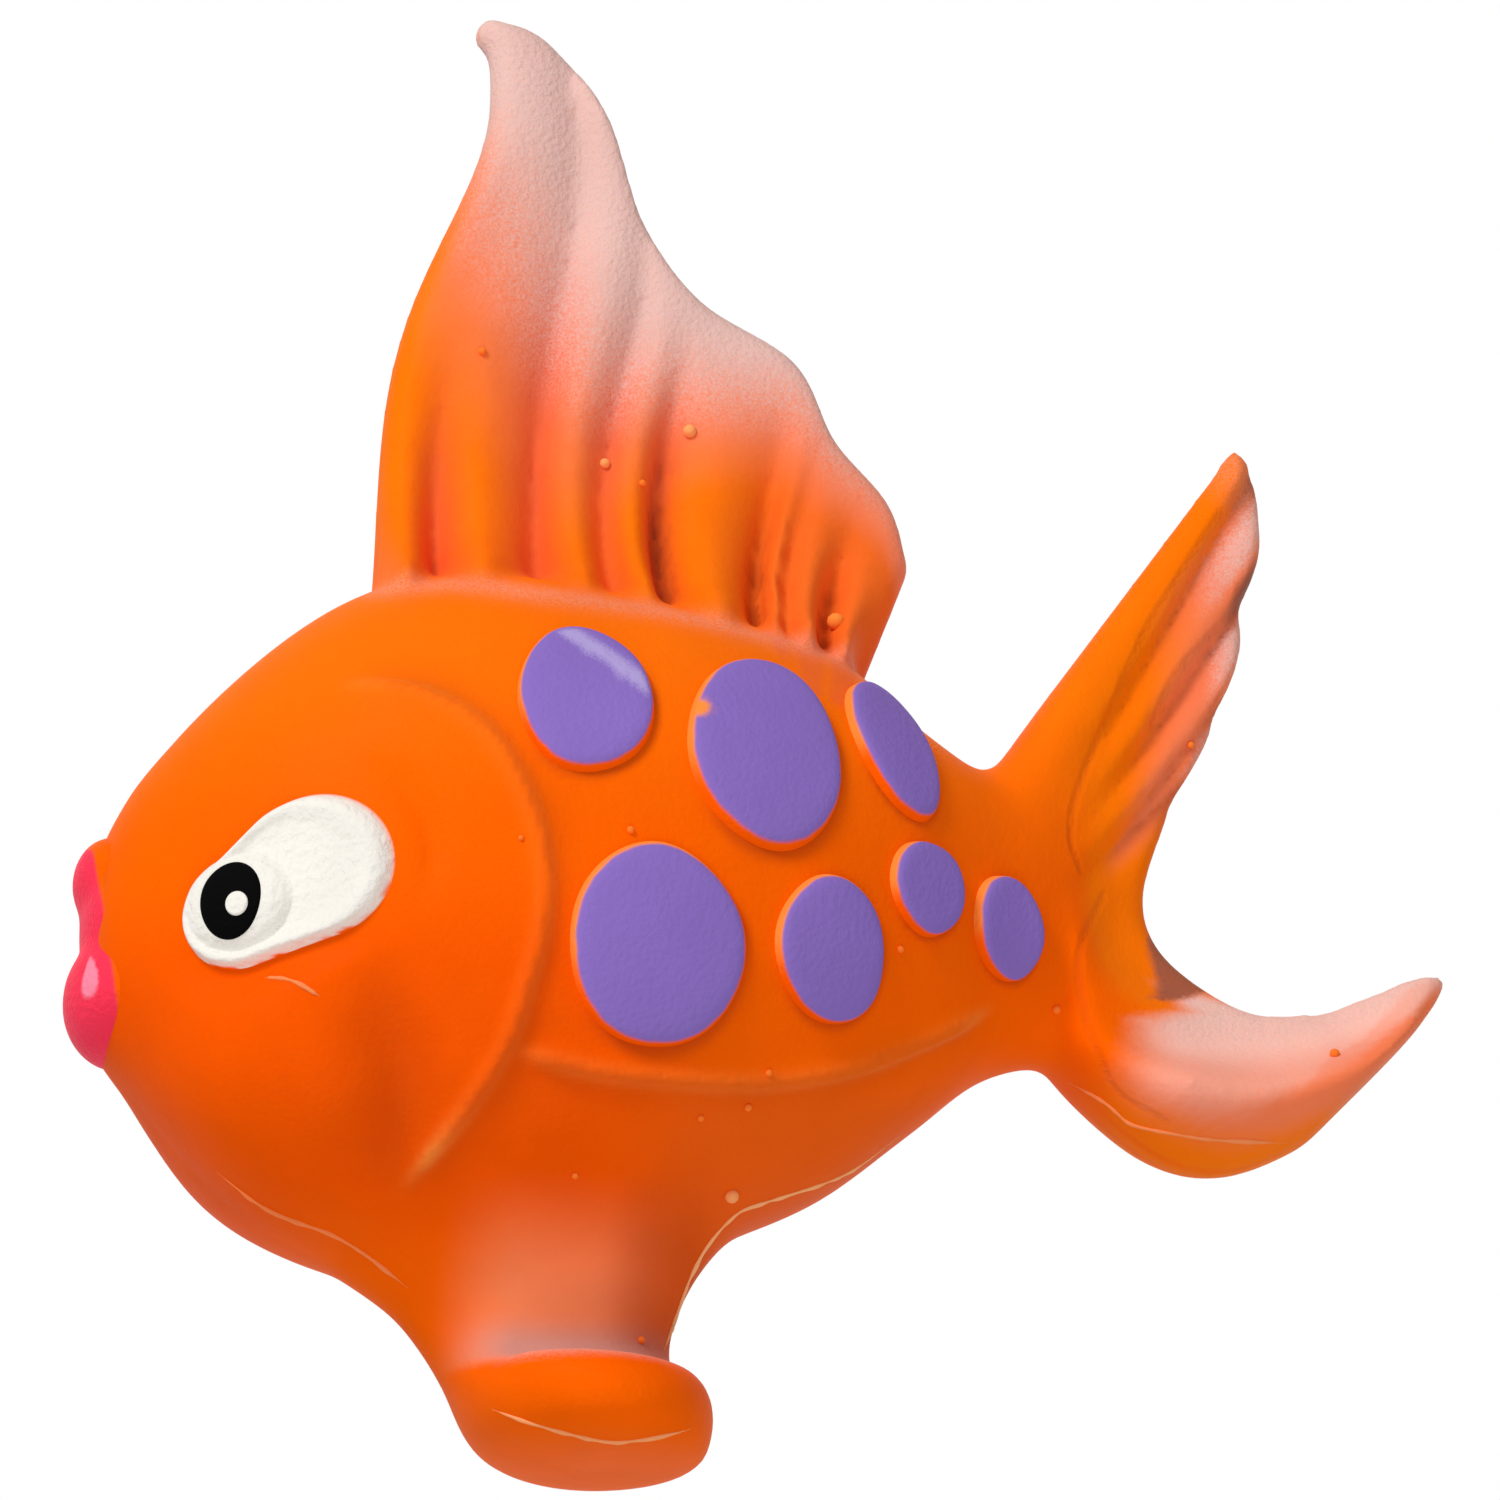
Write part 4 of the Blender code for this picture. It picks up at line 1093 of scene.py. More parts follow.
def blend_in(colours, other, weight):
    """Mix a colour into an array of colours by weight."""
    weight = np.clip(weight, 0, 1)[:, None]
    return colours * (1 - weight) + other * weight


def ramped(ramps, fields):
    """Product of ramps, each given by a field's name and the values where it starts and is full."""
    weight = 1.0
    for name, start, full in ramps:
        weight = weight * step(start, full, fields[name])
    return weight


def airbrush(colours, coats, fields):
    """Lay coats of paint over colours."""
    for colour, strength, mask, *ramps in coats:
        colours = blend_in(colours, colour, strength * fields[mask] * ramped(ramps, fields))
    return colours


def store(mesh, colours, spray):
    """Write colour and overspray attributes, from one value for each vertex or one for all."""
    count = len(mesh.vertices)
    full = np.column_stack([np.broadcast_to(colours, (count, 3)), np.ones(count)])
    paint = mesh.attributes.new("paint", "FLOAT_COLOR", "POINT")
    paint.data.foreach_set("color", full.ravel())
    cover = mesh.attributes.new("spray", "FLOAT", "POINT")
    cover.data.foreach_set("value", np.broadcast_to(spray, count).astype(float))


def on_grid(fin_map, left):
    """Fields at each place: how surely it is on a fin, shares across and along it, distance from the rim."""
    samples, u, v, inner = fin_map
    distance, number = nearest(samples, left)
    return {"all": 1.0, "on": step(*ON_FIN, distance), "u": u[number], "v": v[number], "inner": inner[number]}


def fin_paint(colours, spray, left, fin_map):
    """Airbrush of the dorsal fin: pale from tip and trailing rim, salmon below, rose and painted shade in the
    valleys.
    """
    fields = on_grid(fin_map, left)
    on, u, inner = fields["on"], fields["u"], fields["inner"]
    across, start, full = np.array(FIN_SPRAY).T
    start, full = np.interp(u, across, start), np.interp(u, across, full)
    fields["depth"] = inner / start
    fields["band"] = on * (1 - ramped(BARE_EDGE, fields))
    fields["taken"] = on * valleys(u, fields["v"])
    colours = airbrush(colours, FIN_COATS, fields)
    x, _, z = left.T
    fuzz = bell(*FUZZ_BELL, z - on_line(SHOULDER_LINE, x)) * ramped(FUZZ_ENDS, {"x": x})
    pale = fields["band"] * step(start, full, inner)
    return colours, np.maximum.reduce([spray, FUZZ_PALE * fuzz, pale])


def fold_paint(colours, spray, fields):
    """Upper tail lobe: a painted shadow under each fold, painted shade in the gaps between the folds, and
    pale ends on them.
    """
    on, u, v, inner = (fields[name] for name in ("on", "u", "v", "inner"))
    for at_root, at_rim, _ in TAIL_STEPS:
        past = u - between(at_root, at_rim, v)
        behind = np.exp(-np.maximum(past, 0) / FOLD_SHADE_BEHIND)
        line = np.where(past > 0, behind, bell(0, FOLD_SHADE_BEFORE, past))
        colours = blend_in(colours, SHADE, FOLD_SHADE * on * line * step(*FOLD_SHADE_RAMP, v))
    for place, spread, strength in FOLD_GAP_SHADES:
        gap = bell(place, spread, u) * step(*GAP_FADE, inner)
        colours = blend_in(colours, SHADOW_BROWN, strength * on * gap)
    for start, full, fading, end, reach, strength in FOLD_ENDS:
        pale = step(start, full, u) * step(end, fading, u) * step(reach, FOLD_END_FULL * reach, inner)
        spray = np.maximum(spray, strength * on * pale)
    return colours, spray


def scoop_fields(fields):
    """Further fields of the tail: ways past the lines of its web and scoop, and the masks that they bound."""
    on, u, v = fields["on"], fields["u"], fields["v"]
    near, far = (along + slope * (u - place) for place, along, slope in (WEB_NEAR, WEB_FAR))
    fields.update(past_near=v - near, before_far=far - v)
    fields["past_start"] = v - on_line(SCOOP_START, u)
    fields["past_edge"] = u - on_line(SCOOP_EDGE, v)
    fields["past_crest"] = v - on_line(SCOOP_CREST, u)
    fields["web"] = on * ramped(WEB, fields)
    fields["scoop"] = on * ramped(SCOOP, fields) * (1 - fields["web"])
    fields["crest"] = ramped(CREST, fields)
    return fields


def in_scoop(fields, least, more, ramp, crest_loss):
    """Strength of a coat in the scoop."""
    return fields["scoop"] * (1 - crest_loss * fields["crest"]) * (least + more * step(*ramp, fields["u"]))


def tail_paint(colours, spray, left, fin_map):
    """Airbrush of the tail: its folds above, a pale scoop below, and painted shade on the web between."""
    fields = scoop_fields(on_grid(fin_map, left))
    fields["tint"] = in_scoop(fields, *SCOOP_TINT)
    colours = airbrush(colours, TAIL_COATS, fields)
    colours, spray = fold_paint(colours, spray, fields)
    colours = airbrush(colours, SCOOP_COATS, fields)
    tip = TIP_PALE * fields["on"] * ramped(TAIL_TIP, fields)
    return colours, np.maximum.reduce([spray, in_scoop(fields, *SCOOP_PALE), tip])


def line_paint(colours, left):
    """Painted highlights on the crests of the gill cover and the belly line, painted shade beside them and on
    the cheek.
    """
    for path, dark_left in ((GILL, True), (BELLY_LINE, False)):
        distance, along, is_left = beside(path, left)
        fade = ends(along, *LINE_ENDS)
        dark = bell(0, LINE_SHADE_REACH, distance) * (is_left == dark_left)
        colours = blend_in(colours, SHADE, LINE_SHADE * dark * fade)
        colours = blend_in(colours, LIT, LINE_LIGHT * bell(0, LINE_LIGHT_REACH, distance) * fade)
    distance, along, _ = beside(CHEEK_LINE, left)
    dark = bell(0, CHEEK_SHADE_REACH, distance) * ends(along, *CHEEK_ENDS)
    return blend_in(colours, SHADE, CHEEK_SHADE * dark)


def downhill(places, middle):
    """How far places lie to the tail and belly side of a middle in X and Z, from -1 to 1."""
    offset = places[:, [0, 2]] - middle
    return offset @ DOWNHILL / np.maximum(np.linalg.norm(offset, axis=1), 0.01)


def spot_shape(number):
    """Middle of a spot in X and Z, width, height and lean."""
    along, up, width, height, lean = SPOTS[number - 1]
    return body_place((along, up)), width * BODY_LENGTH, height * BODY_HEIGHT, lean


def spot_shade(colours, left):
    """A soft painted shadow at the foot of each spot, on its tail and belly side."""
    for number in SPOT_NUMBERS:
        middle, width, height, lean = spot_shape(number)
        cosine, sine = math.cos(math.radians(lean)), math.sin(math.radians(lean))
        offset = (left[:, [0, 2]] - middle) @ ((cosine, -sine), (sine, cosine))
        share = np.linalg.norm(offset / (width / 2, height / 2), axis=1)
        side = step(*SPOT_SHADE_SIDE, downhill(left, middle))
        colours = blend_in(colours, SHADE, SPOT_SHADE * step(*SPOT_SHADE_REACH, share) * side)
    return colours


def surface_point(tree, x, z):
    """Point and normal where a line from the left meets the skin at x and z."""
    hit, normal, _, _ = tree.ray_cast(Vector((x, FAR_LEFT, z)) * MM, Vector((0, 1, 0)))
    return hit, normal


def paint_skin(skin, tree, dorsal_map, tail_map):
    """Store the skin's paint, with its painted light and shade, its overspray and its fine creases on its
    vertices.
    """
    left = mirrored(places_of(skin.data))
    x, y, z = left.T
    fields = {"all": 1.0, "x": x, "y": y, "z": z, "low": z - BELLY_RISE * np.maximum(x, 0)}
    colours = airbrush(ORANGE, BODY_COATS, fields)
    colours = line_paint(colours, left)
    colours = spot_shade(colours, left)
    colours = airbrush(colours, FOOT_COATS, fields)
    # Pale crest of the foot: overspray with a painted highlight
    spray = CREST_PALE * ramped(FOOT_CREST, fields)
    colours, spray = fin_paint(colours, spray, left, dorsal_map)
    colours, spray = tail_paint(colours, spray, left, tail_map)
    store(skin.data, colours, spray)
    paths = [spaced(path, np.linspace(0, 1, CREASE_POINTS)) for path in CREASES]
    lines = [surface_point(tree, *place)[0] / MM for path in paths for place in path]
    distance, _ = nearest(lines, left)
    crease = skin.data.attributes.new("crease", "FLOAT", "POINT")
    crease.data.foreach_set("value", np.clip(1 - distance / CREASE_REACH, 0, 1))


def eased_line(tree, path, density=20, rounds=60):
    """Points on the skin along a path in X and Z seen from the left, eased where the skin turns away."""
    shares = np.linspace(0, 1, density * len(path))
    seen = [surface_point(tree, x, z)[0] for x, z in spaced(path, shares)]
    points = [hit for hit in seen if hit is not None]
    for _ in range(rounds):
        middle = [(before + after) / 2 for before, after in zip(points, points[2:])]
        points = [points[0], *middle, points[-1]]
    return [tree.find_nearest(point)[0] for point in points]


def tube(name, points, radii, sides=6):
    """A closed tube through points in metres."""
    rings = []
    for k, point in enumerate(points):
        ahead = (points[min(k + 1, len(points) - 1)] - points[max(k - 1, 0)]).normalized()
        aside = ahead.cross(TUBE_UP).normalized()
        up = ahead.cross(aside)
        for turn in np.linspace(0, 2 * math.pi, sides, endpoint=False):
            rings.append((point + float(radii[k]) * (math.cos(turn) * aside + math.sin(turn) * up)) / MM)
    return new_object(name, [tuple(p) for p in rings], loft_faces(len(points), sides))


def flash(tree):
    """Fine mould flash on the left, as tubes to join to the skin."""
    tubes = []
    for number, (pale, path) in enumerate(FLASH_LINES):
        points = eased_line(tree, path)
        fade = ends(np.linspace(0, 1, len(points)), FLASH_FADE, FLASH_FADE)
        grain = between(*FLASH_GRAIN, ragged(points, FLASH_GRAIN_SCALE))
        line = tube(f"flash_{number}", points, FLASH_RADIUS * MM * np.maximum(fade * grain, FLASH_LEAST))
        store(line.data, between(ORANGE, FLASH, pale), 0.0)
        tubes.append(line)
    return tubes


def pips(tree):
    """Pips left by air bubbles on the left, as balls to join to the skin."""
    balls = []
    for number, (x, z, radius) in enumerate(PIPS):
        hit, normal = surface_point(tree, x, z)
        centre = hit + normal * PIP_LIFT * radius * MM
        pip = ball(f"pip_{number}", subdivisions=2, radius=radius * MM, centre=centre)
        store(pip.data, next(colour for least, colour in PIP_COLOURS if radius > least), 0.0)
        balls.append(pip)
    return balls


def join(thing, extras):
    """Join further meshes to an object, with their attributes."""
    for other in bpy.context.selected_objects:
        other.select_set(False)
    for other in extras:
        other.select_set(True)
    thing.select_set(True)
    bpy.context.view_layer.objects.active = thing
    bpy.ops.object.join()
    thing.select_set(False)


def ellipse(place, width, height, lean=0.0, count=96, wobble=0.0, phase=0.0):
    """Outline in X and Z of an ellipse whose top leans towards the head, a little uneven if asked."""
    turn = math.radians(lean)
    angle = np.linspace(0, 2 * math.pi, count, endpoint=False)
    waves = sum(size * np.sin(turns * angle + shift * phase) for turns, size, shift in WAVES)
    uneven = 1 + wobble * waves
    across, up = width / 2 * np.cos(angle) * uneven, height / 2 * np.sin(angle) * uneven
    x = place[0] + across * math.cos(turn) - up * math.sin(turn)
    return np.stack([x, place[1] + across * math.sin(turn) + up * math.cos(turn)], -1)


def egg(back, front, back_radius, front_radius, count=72):
    """Outline round two circles, as a thread would lie round them."""
    way = front - back
    heading = math.atan2(way[1], way[0])
    open_angle = math.acos((back_radius - front_radius) / np.linalg.norm(way))
    fore = np.linspace(heading - open_angle, heading + open_angle, count)
    aft = np.linspace(heading + open_angle, heading - open_angle + 2 * math.pi, count)
    arcs = [front + front_radius * np.stack([np.cos(fore), np.sin(fore)], -1),
            back + back_radius * np.stack([np.cos(aft), np.sin(aft)], -1)]
    return even(np.concatenate(arcs), 2 * count)


def even(outline, count):
    """The same closed outline with evenly spaced points."""
    ring = np.concatenate([outline, outline[:1]])
    gone = np.append(0, np.cumsum(np.linalg.norm(np.diff(ring, axis=0), axis=1)))
    places = np.linspace(0, gone[-1], count, endpoint=False)
    return np.stack([np.interp(places, gone, ring[:, k]) for k in (0, 1)], -1)


def pad(name, outline, side, shares, lift, centre=None):
    """A closed pad on the flank: rings of the outline at shares of its size, lifted by a function.

    Also returns each vertex's share of the outline.
    """
    centre = outline.mean(axis=0) if centre is None else centre
    count = len(outline)
    rings = centre + np.asarray(shares)[:, None, None] * (outline - centre)[None]
    reach = np.broadcast_to(np.asarray(shares)[:, None], rings.shape[:2])
    x, z = rings[..., 0], rings[..., 1]
    points = flank_points(x, z, side, lift(x, z, reach)).reshape(-1, 3)
    faces = loft_faces(len(shares), count)[2:]
    low = (len(shares) - 1) * count
    top = float(lift(centre[:1], centre[1:], np.zeros(1))[0])
    poles = flank_points(np.full(2, centre[0]), np.full(2, centre[1]), side, np.array([top, PAD_FLOOR]))
    points = np.concatenate([points, poles])
    for k in range(count):
        after = (k + 1) % count
        faces += [(len(points) - 2, k, after), (len(points) - 1, low + k, low + after)]
    return new_object(name, points, faces), np.append(reach.ravel(), (0, PAD_BEYOND))


def spot_lift(x, z, share):
    """Height of a spot's boss: a flat crown, a rounded shoulder and a wall down into the skin."""
    return on_line(SPOT_LIFT, share)


def spot_wear(places, share, middle, width):
    """Overspray of a worn streak on the upper side of a spot."""
    aslant = (places[:, [0, 2]] - middle) @ WEAR_WAY / (0.5 * width)
    return step(*WEAR_LOW, aslant) * step(*WEAR_HIGH, aslant) * step(*WEAR_EDGE, share)


def spot(number, side, label, coat):
    """One raised spot with its coat of paint on the crown."""
    middle, width, height, lean = spot_shape(number)
    outline = ellipse(middle, width, height, lean, wobble=SPOT_WOBBLE, phase=SPOT_PHASE * number)
    thing, share = pad(f"visual_spot_{label}_{number}", outline, side, SPOT_SHARES, spot_lift)
    places = places_of(thing.data)
    bare = step(*SPOT_EDGE, share + SPOT_RAGGED * ragged(places, SPOT_RAGGED_SCALE))
    if side < 0 and number == NICKED_SPOT:
        nick = flank_points(*NICK_PLACE, side, NICK_LIFT)
        away = np.linalg.norm(places - nick, axis=1)
        bare = np.maximum(bare, step(NICK_RADIUS, 0.5 * NICK_RADIUS, away))
    # Painted highlight on the uphill side of the spot's wall
    wall = blend_in(ORANGE, LIT, step(*SPOT_LIT, downhill(places, middle)))
    wear = spot_wear(places, share, middle, width) if number == WORN_SPOT else 0.0
    store(thing.data, blend_in(PURPLE, wall, bare), wear)
    return dress(thing, coat, f"spot_{label}_{number}")


def eye_lift(x, z, share):
    """Height of the white: a sloping border, a raised edge, a shallow dish and the pupil's dome."""
    place = body_place(PUPIL_PLACE)
    inside = np.clip(1 - ((x - place[0]) ** 2 + (z - place[1]) ** 2) / DOME_RADIUS**2, 0, 1)
    dome = DOME_HEIGHT * inside**DOME_POWER
    return np.logaddexp(DOME_BLEND * on_line(EYE_LIFT, share), DOME_BLEND * dome - DOME_SINK) / DOME_BLEND


def on_eye(thickness):
    """Height function of a coat that lies on the eye and thins out at its rim."""

    def lift(x, z, share):
        return eye_lift(x, z, np.zeros_like(share)) + thickness * on_line(COAT_LIFT, share)

    return lift


def eye_white(places, share):
    """White with a ragged edge of bare latex along its lower side."""
    uneven = ragged(places, EYE_RAGGED_SCALE) * step(*EYE_RAGGED_Z, places[:, 2])
    return blend_in(EYE_WHITE, ORANGE, step(*EYE_EDGE, share + EYE_RAGGED * uneven))


def eye(side, label, coats):
    """White, pupil and catchlight of one eye."""
    white = egg(body_place(EYE_BACK), body_place(EYE_FRONT), EYE_BACK_RADIUS, EYE_FRONT_RADIUS)
    pupil = ellipse(body_place(PUPIL_PLACE), *PUPIL_SIZE, wobble=PUPIL_WOBBLE)
    dot = ellipse(body_place(CATCHLIGHT_PLACE), *CATCHLIGHT_SIZE, count=48)
    things = []
    for name, slot, outline, shares, lift in (
        ("eye", "white_paint", white, EYE_SHARES, eye_lift),
        ("pupil", "black_paint", pupil, COAT_SHARES, on_eye(PUPIL_COAT)),
        ("catchlight", "white_paint", dot, COAT_SHARES, on_eye(CATCHLIGHT_COAT)),
    ):
        centre = body_place(PUPIL_PLACE) if name == "eye" else None
        thing, share = pad(f"visual_{name}_{label}", outline, side, shares, lift, centre)
        colour = BLACK if name == "pupil" else EYE_WHITE
        if name == "eye":
            colour = eye_white(places_of(thing.data), share)
        store(thing.data, colour, 0.0)
        things.append(dress(thing, coats[name], f"{name}_{label}"))
    return things


def lips(coat):
    """Puckered lips: a painted front with a painted highlight on it, and bare latex behind."""
    lobes = [ellipsoid(f"lobe_{k}", *lobe) for k, lobe in enumerate(LIP_LOBES)]
    thing = fuse("visual_lips", lobes, LIP_VOXEL)
    places = places_of(thing.data)
    places = relax(thing.data, places, np.full(len(places), EASE), EASE_ROUNDS["lips"])
    set_places(thing.data, places)
    x, y, z = mirrored(places).T
    bare = step(*LIP_EDGE, x - on_line(LIP_PAINT, z))
    # The pale drop on the lower lip is a painted highlight, laid as spray of the paler pink
    across, up = (x - LIP_DROP[0]) / LIP_DROP_SIZE[0], (z - LIP_DROP[1]) / LIP_DROP_SIZE[1]
    narrow = 1 / (1 - LIP_DROP_TAPER * np.clip(up, -1, 1))
    drop = step(*LIP_DROP_EDGE, np.hypot(across * narrow, up)) * step(*LIP_DROP_SIDE, y)
    store(thing.data, blend_in(PINK, ORANGE, bare), drop)
    return dress(thing, coat, "lips")


def stuffing(coat):
    """The loose fibre inside the skin, with room for the squeaker."""
    gap = 2 * CLEARANCE / BODY_LENGTH
    first, last = HOLLOW[0] + gap, HOLLOW[1] - gap
    fill = body_loft("visual_fill", SKIN_WALL + CLEARANCE, first, last, *HOLLOW_MESH)
    cut(fill, plug("nest", NEST_RADIUS, NEST_DEPTH, OVERRUN), "DIFFERENCE")
    return dress(fill, coat, "fibre_fill")


def feed(tree, socket, value):
    """Link a socket to another one, or set it to a value."""
    if isinstance(value, bpy.types.NodeSocket):
        tree.links.new(value, socket)
    else:
        socket.default_value = value


def add_node(tree, kind, inputs, **settings):
    """A new node with its settings, and its inputs fed by name or number."""
    node = tree.nodes.new(kind)
    for name, value in settings.items():
        setattr(node, name, value)
    for key, value in inputs.items():
        feed(tree, node.inputs[key], value)
    return node


def material(name, ior=PAINT_IOR):
    """A Principled material, its nodes, and its shader."""
    made = bpy.data.materials.new(name)
    made.use_nodes = True
    shader = made.node_tree.nodes["Principled BSDF"]
    shader.inputs["Roughness"].default_value = ROUGHNESS[name]
    shader.inputs["IOR"].default_value = ior
    return made, made.node_tree, shader


def noise_node(tree, scale, detail):
    """Noise over the object's own coordinates."""
    place = tree.nodes.new("ShaderNodeTexCoord").outputs["Object"]
    grain = add_node(tree, "ShaderNodeTexNoise", {"Vector": place, "Scale": scale, "Detail": detail})
    return grain.outputs["Fac"]


def attribute(tree, name, output="Fac"):
    """A value stored on the vertices."""
    return add_node(tree, "ShaderNodeAttribute", {}, attribute_name=name).outputs[output]


def maths(tree, operation, *values, use_clamp=False):
    """Result of a Math node over sockets or numbers."""
    inputs = dict(enumerate(values))
    return add_node(tree, "ShaderNodeMath", inputs, operation=operation, use_clamp=use_clamp).outputs[0]


def mix_colour(tree, factor, first, second):
    """A mix of a colour from a socket with a plain one."""
    inputs = {0: factor, 6: first, 7: (*second, 1.0)}
    return add_node(tree, "ShaderNodeMix", inputs, data_type="RGBA").outputs[2]


def bump_node(tree, shape, height, under=None):
    """A bump of a shape from a socket, of a height in millimetres, on top of another bump if one is given."""
    inputs = {"Strength": 1.0, "Distance": height * MM, "Height": shape}
    if under:
        inputs["Normal"] = under.outputs["Normal"]
    return add_node(tree, "ShaderNodeBump", inputs)


def bump(tree, shader, layers):
    """Stack of noise bumps given as (scale, detail, height); returns the last one's node."""
    node = None
    for scale, detail, height in layers:
        node = bump_node(tree, noise_node(tree, scale, detail), height, node)
    feed(tree, shader.inputs["Normal"], node.outputs["Normal"])
    return node


def paint_colour(tree, over, spray):
    """The stored colours under grainy overspray of a second colour."""
    speckle = maths(tree, "SUBTRACT", noise_node(tree, *SPECKLE), 0.5)
    edge = maths(tree, "MULTIPLY", spray, maths(tree, "SUBTRACT", 1.0, spray))
    grainy = maths(tree, "MULTIPLY", maths(tree, "MULTIPLY", speckle, edge), SPECKLE_STRENGTH)
    cover = maths(tree, "ADD", spray, grainy, use_clamp=True)
    return mix_colour(tree, cover, attribute(tree, "paint", "Color"), over)


def mottled(tree, colour):
    """A colour with the slight unevenness of all paint."""
    shade = maths(tree, "MULTIPLY_ADD", noise_node(tree, *MOTTLE), *MOTTLE_RANGE)
    return add_node(tree, "ShaderNodeVectorMath", {0: colour, "Scale": shade}, operation="SCALE").outputs[0]


def add_latex(tree, shader, grain, spray, colour):
    """Make paint into bare latex: a glow from within, grain that grows with the overspray, and fine creases.

    Returns the colour with painted shade in its creases.
    """
    for name, value in LATEX_GLOW.items():
        shader.inputs[name].default_value = value
    feed(tree, grain.inputs["Strength"], maths(tree, "MULTIPLY_ADD", spray, *GRAIN_RANGE))
    inputs = {"Value": attribute(tree, "crease"), "From Min": CREASE_START}
    line = add_node(tree, "ShaderNodeMapRange", inputs, interpolation_type="SMOOTHSTEP").outputs["Result"]
    feed(tree, shader.inputs["Normal"], bump_node(tree, line, -CREASE_DEPTH, grain).outputs["Normal"])
    return mix_colour(tree, maths(tree, "MULTIPLY", line, CREASE_SHADE_TINT), colour, CREASE_SHADE_BROWN)


def painted(name, over, grain=PAINT_GRAIN, is_latex=False):
    """Paint from the stored colours, with grainy overspray of a second colour."""
    made, tree, shader = material(name)
    spray = attribute(tree, "spray")
    colour = paint_colour(tree, over, spray)
    relief = bump(tree, shader, (PAINT_WAVE, grain))
    if is_latex:
        colour = add_latex(tree, shader, relief, spray, colour)
    feed(tree, shader.inputs["Base Color"], mottled(tree, colour))
    return made


def plain(name, colour, transmission=0.0):
    """A plain moulded plastic or film."""
    made, tree, shader = material(name, PLASTIC_IOR)
    shader.inputs["Base Color"].default_value = (*colour, 1.0)
    shader.inputs["Transmission Weight"].default_value = transmission
    bump(tree, shader, (PLASTIC_GRAIN,))
    return made


def dress(thing, coat, node):
    """Give a piece its coat, and hide the CAD solid that it stands for."""
    thing.data.materials.clear()
    thing.data.materials.append(coat)
    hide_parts(node)
    return thing


def squeeze_with_flank(*things):
    """Bake each piece's place into its mesh."""
    for thing in things:
        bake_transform(thing)


def dressed_skin():
    """The moulded skin with its hollow, flash, pips and paint."""
    skin, dorsal_map, tail_map = moulded_form()
    hollow_out(skin)
    tree = BVHTree.FromObject(skin, bpy.context.evaluated_depsgraph_get())
    extras = flash(tree) + pips(tree)
    paint_skin(skin, tree, dorsal_map, tail_map)
    join(skin, extras)
    return dress(skin, painted("latex_paint", PALE, is_latex=True), "latex_skin")


def build_fish():
    """All visible pieces of the toy."""
    purple = painted("purple_coat", WORN_PURPLE, SPOT_GRAIN)
    coats = {
        "eye": painted("white_coat", EYE_WHITE, EYE_GRAIN),
        "pupil": painted("black_coat", BLACK),
        "catchlight": painted("dot_coat", EYE_WHITE),
    }
    squeeze_with_flank(dressed_skin(), stuffing(plain("fibre", FIBRE_WHITE)))
    for side, label in ((-1, "left"), (1, "right")):
        pieces = [spot(number, side, label, purple) for number in SPOT_NUMBERS]
        pieces += eye(side, label, coats)
        for piece in pieces:
            if side < 0:
                squeeze_with_flank(piece)
            else:
                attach(piece, "toy")
    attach(lips(painted("pink_coat", HIGHLIGHT_PINK)), "toy")


def dress_squeaker():
    """Plastics of the squeaker's own solids."""
    plastics = {
        "squeaker_barrel": plain("white_plastic", PLASTIC_WHITE),
        "reed_block": plain("grey_block", PLASTIC_GREY),
        "reed_wedge": plain("grey_wedge", PLASTIC_GREY),
        "reed": plain("clear_film", FILM, FILM_CLEAR),
    }
    for node, plastic in plastics.items():
        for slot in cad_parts[node].material_slots:
            slot.material = plastic


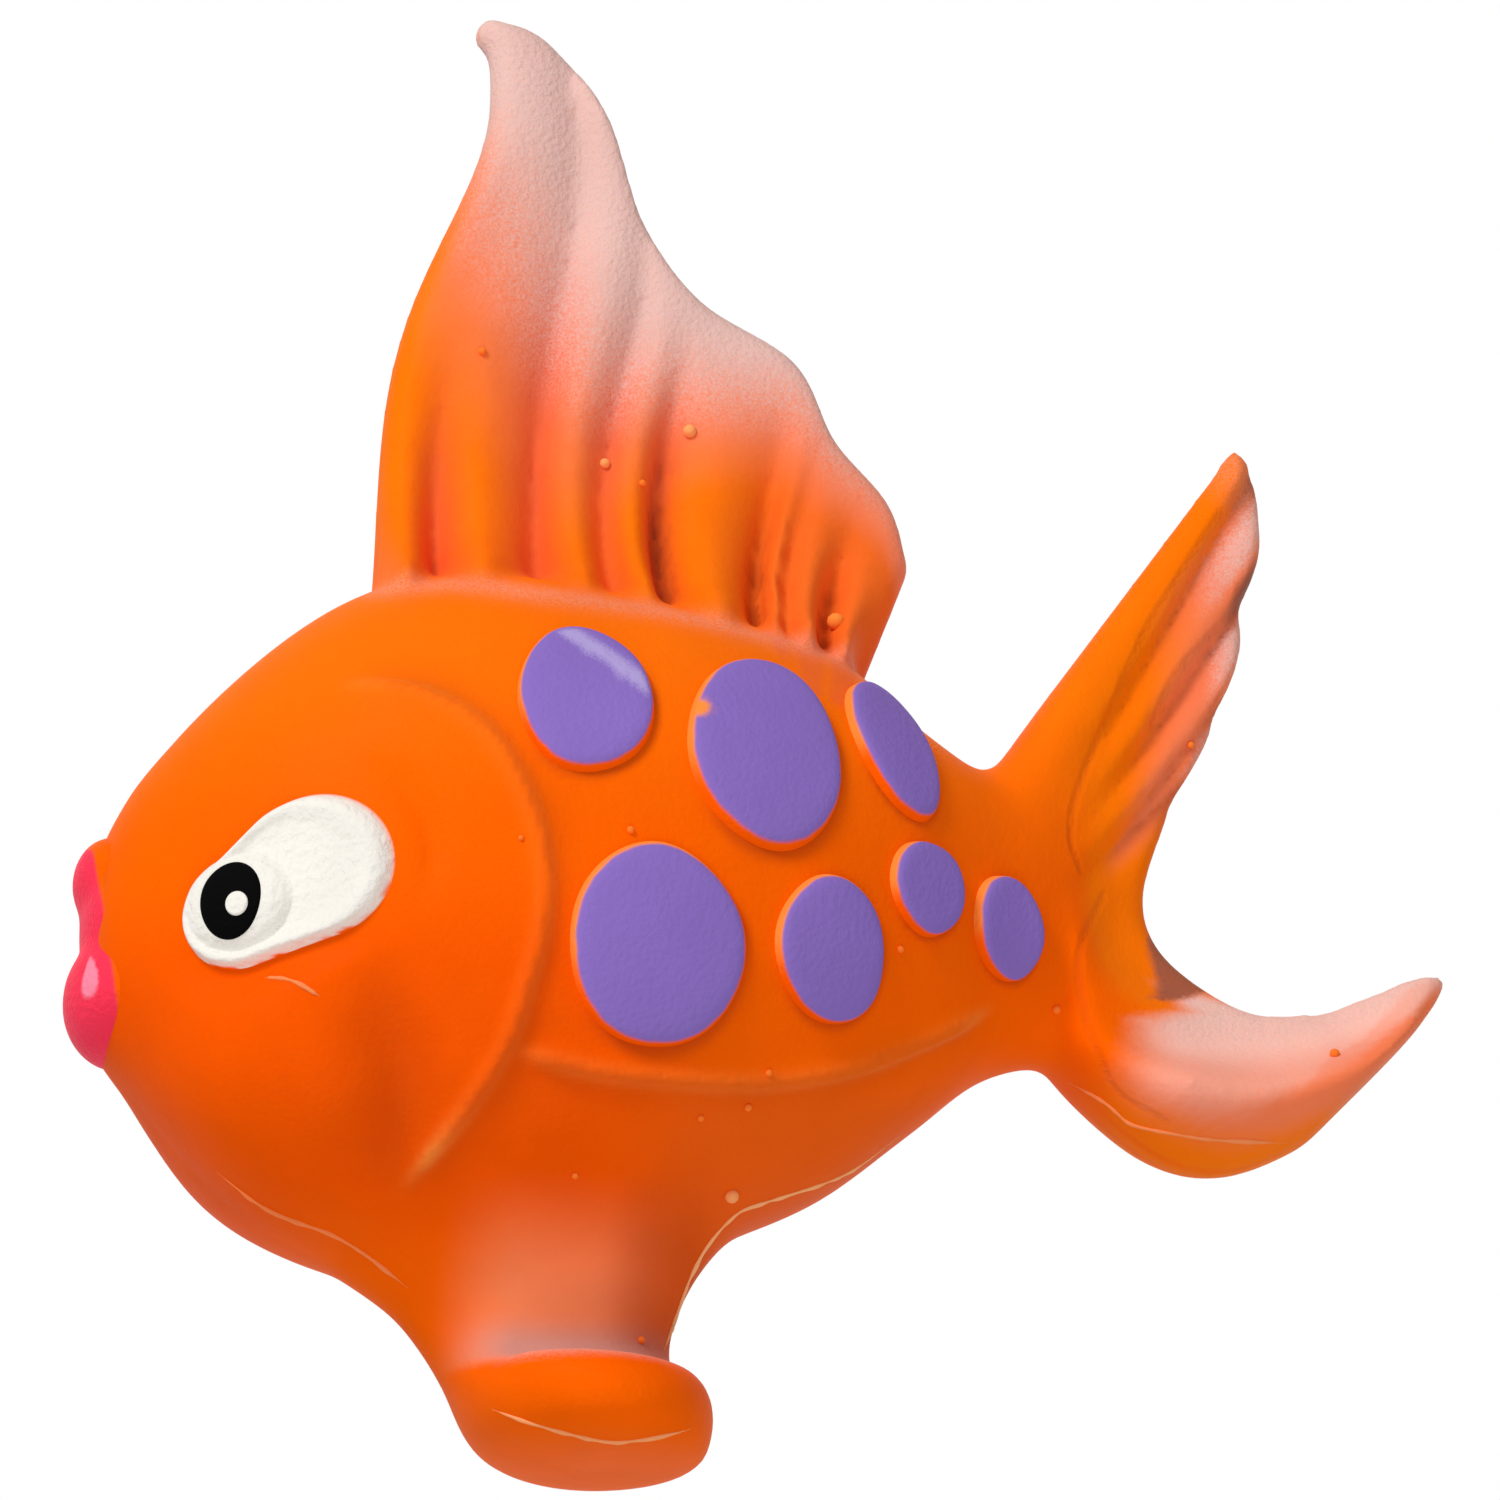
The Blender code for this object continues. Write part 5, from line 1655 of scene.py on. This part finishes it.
def floor_finish():
    """Pale grey that only the camera sees, fading out with distance, and clear from below."""
    made, tree, shader = material("floor")
    shader.inputs["Base Color"].default_value = (FLOOR_GREY, FLOOR_GREY, FLOOR_GREY, 1.0)
    place = tree.nodes.new("ShaderNodeNewGeometry")
    rays = tree.nodes.new("ShaderNodeLightPath")
    clear = tree.nodes.new("ShaderNodeBsdfTransparent")
    away = add_node(tree, "ShaderNodeVectorMath", {0: place.outputs["Position"]}, operation="LENGTH")
    faded = maths(tree, "MULTIPLY", away.outputs["Value"], 1 / (FLOOR_HALF * MM))
    unseen = maths(tree, "SUBTRACT", 1.0, rays.outputs["Is Camera Ray"])
    unseen = maths(tree, "MAXIMUM", unseen, faded, use_clamp=True)
    hidden = maths(tree, "MAXIMUM", place.outputs["Backfacing"], unseen)
    either = add_node(tree, "ShaderNodeMixShader", {0: hidden, 1: shader.outputs[0], 2: clear.outputs[0]})
    feed(tree, tree.nodes["Material Output"].inputs["Surface"], either.outputs[0])
    return made


def floor():
    """A floor under the foot, for its shadow in views from above."""
    corners = [(FLOOR_HALF * i, FLOOR_HALF * j, FLOOR_Z) for i, j in ((-1, -1), (1, -1), (1, 1), (-1, 1))]
    thing = new_object("floor", corners, [(0, 1, 2, 3)])
    thing.data.materials.append(floor_finish())
    if thing.data.polygons[0].normal.z < 0:
        thing.data.flip_normals()


def aimed(name, data, place):
    """A lamp or camera at a place, turned to the camera's target."""
    thing = added(name, data)
    thing.location = Vector(place) * MM
    way = Vector(CAMERA_TARGET) * MM - thing.location
    thing.rotation_euler = way.to_track_quat("-Z", "Y").to_euler()
    return thing


def white_world():
    """A world that is white where it is seen, and lights with the ambient strength."""
    world = bpy.data.worlds.new("studio")
    bpy.context.scene.world = world
    world.use_nodes = True
    tree = world.node_tree
    back = tree.nodes["Background"]
    rays = tree.nodes.new("ShaderNodeLightPath").outputs
    mirror = maths(tree, "MAXIMUM", rays["Is Glossy Ray"], rays["Is Transmission Ray"])
    seen = maths(tree, "MAXIMUM", rays["Is Camera Ray"], mirror)
    back.inputs["Color"].default_value = (1, 1, 1, 1)
    feed(tree, back.inputs["Strength"], maths(tree, "MULTIPLY_ADD", seen, 1 - AMBIENT, AMBIENT))


def studio():
    """White world, two soft lamps and the photo's camera."""
    white_world()
    for name, (place, size, power) in (("key", KEY_LIGHT), ("low", LOW_LIGHT)):
        lamp = bpy.data.lights.new(name, "AREA")
        lamp.size = size * MM
        lamp.energy = power
        aimed(name, lamp, place)
    camera = bpy.data.cameras.new("photo")
    camera.lens = CAMERA_LENS
    camera.sensor_width = CAMERA_SENSOR
    camera.clip_start = CAMERA_CLIP * MM
    bpy.context.scene.camera = aimed("photo", camera, CAMERA_PLACE)
    bpy.context.scene.view_settings.view_transform = "Standard"


build_fish()
dress_squeaker()
floor()
studio()
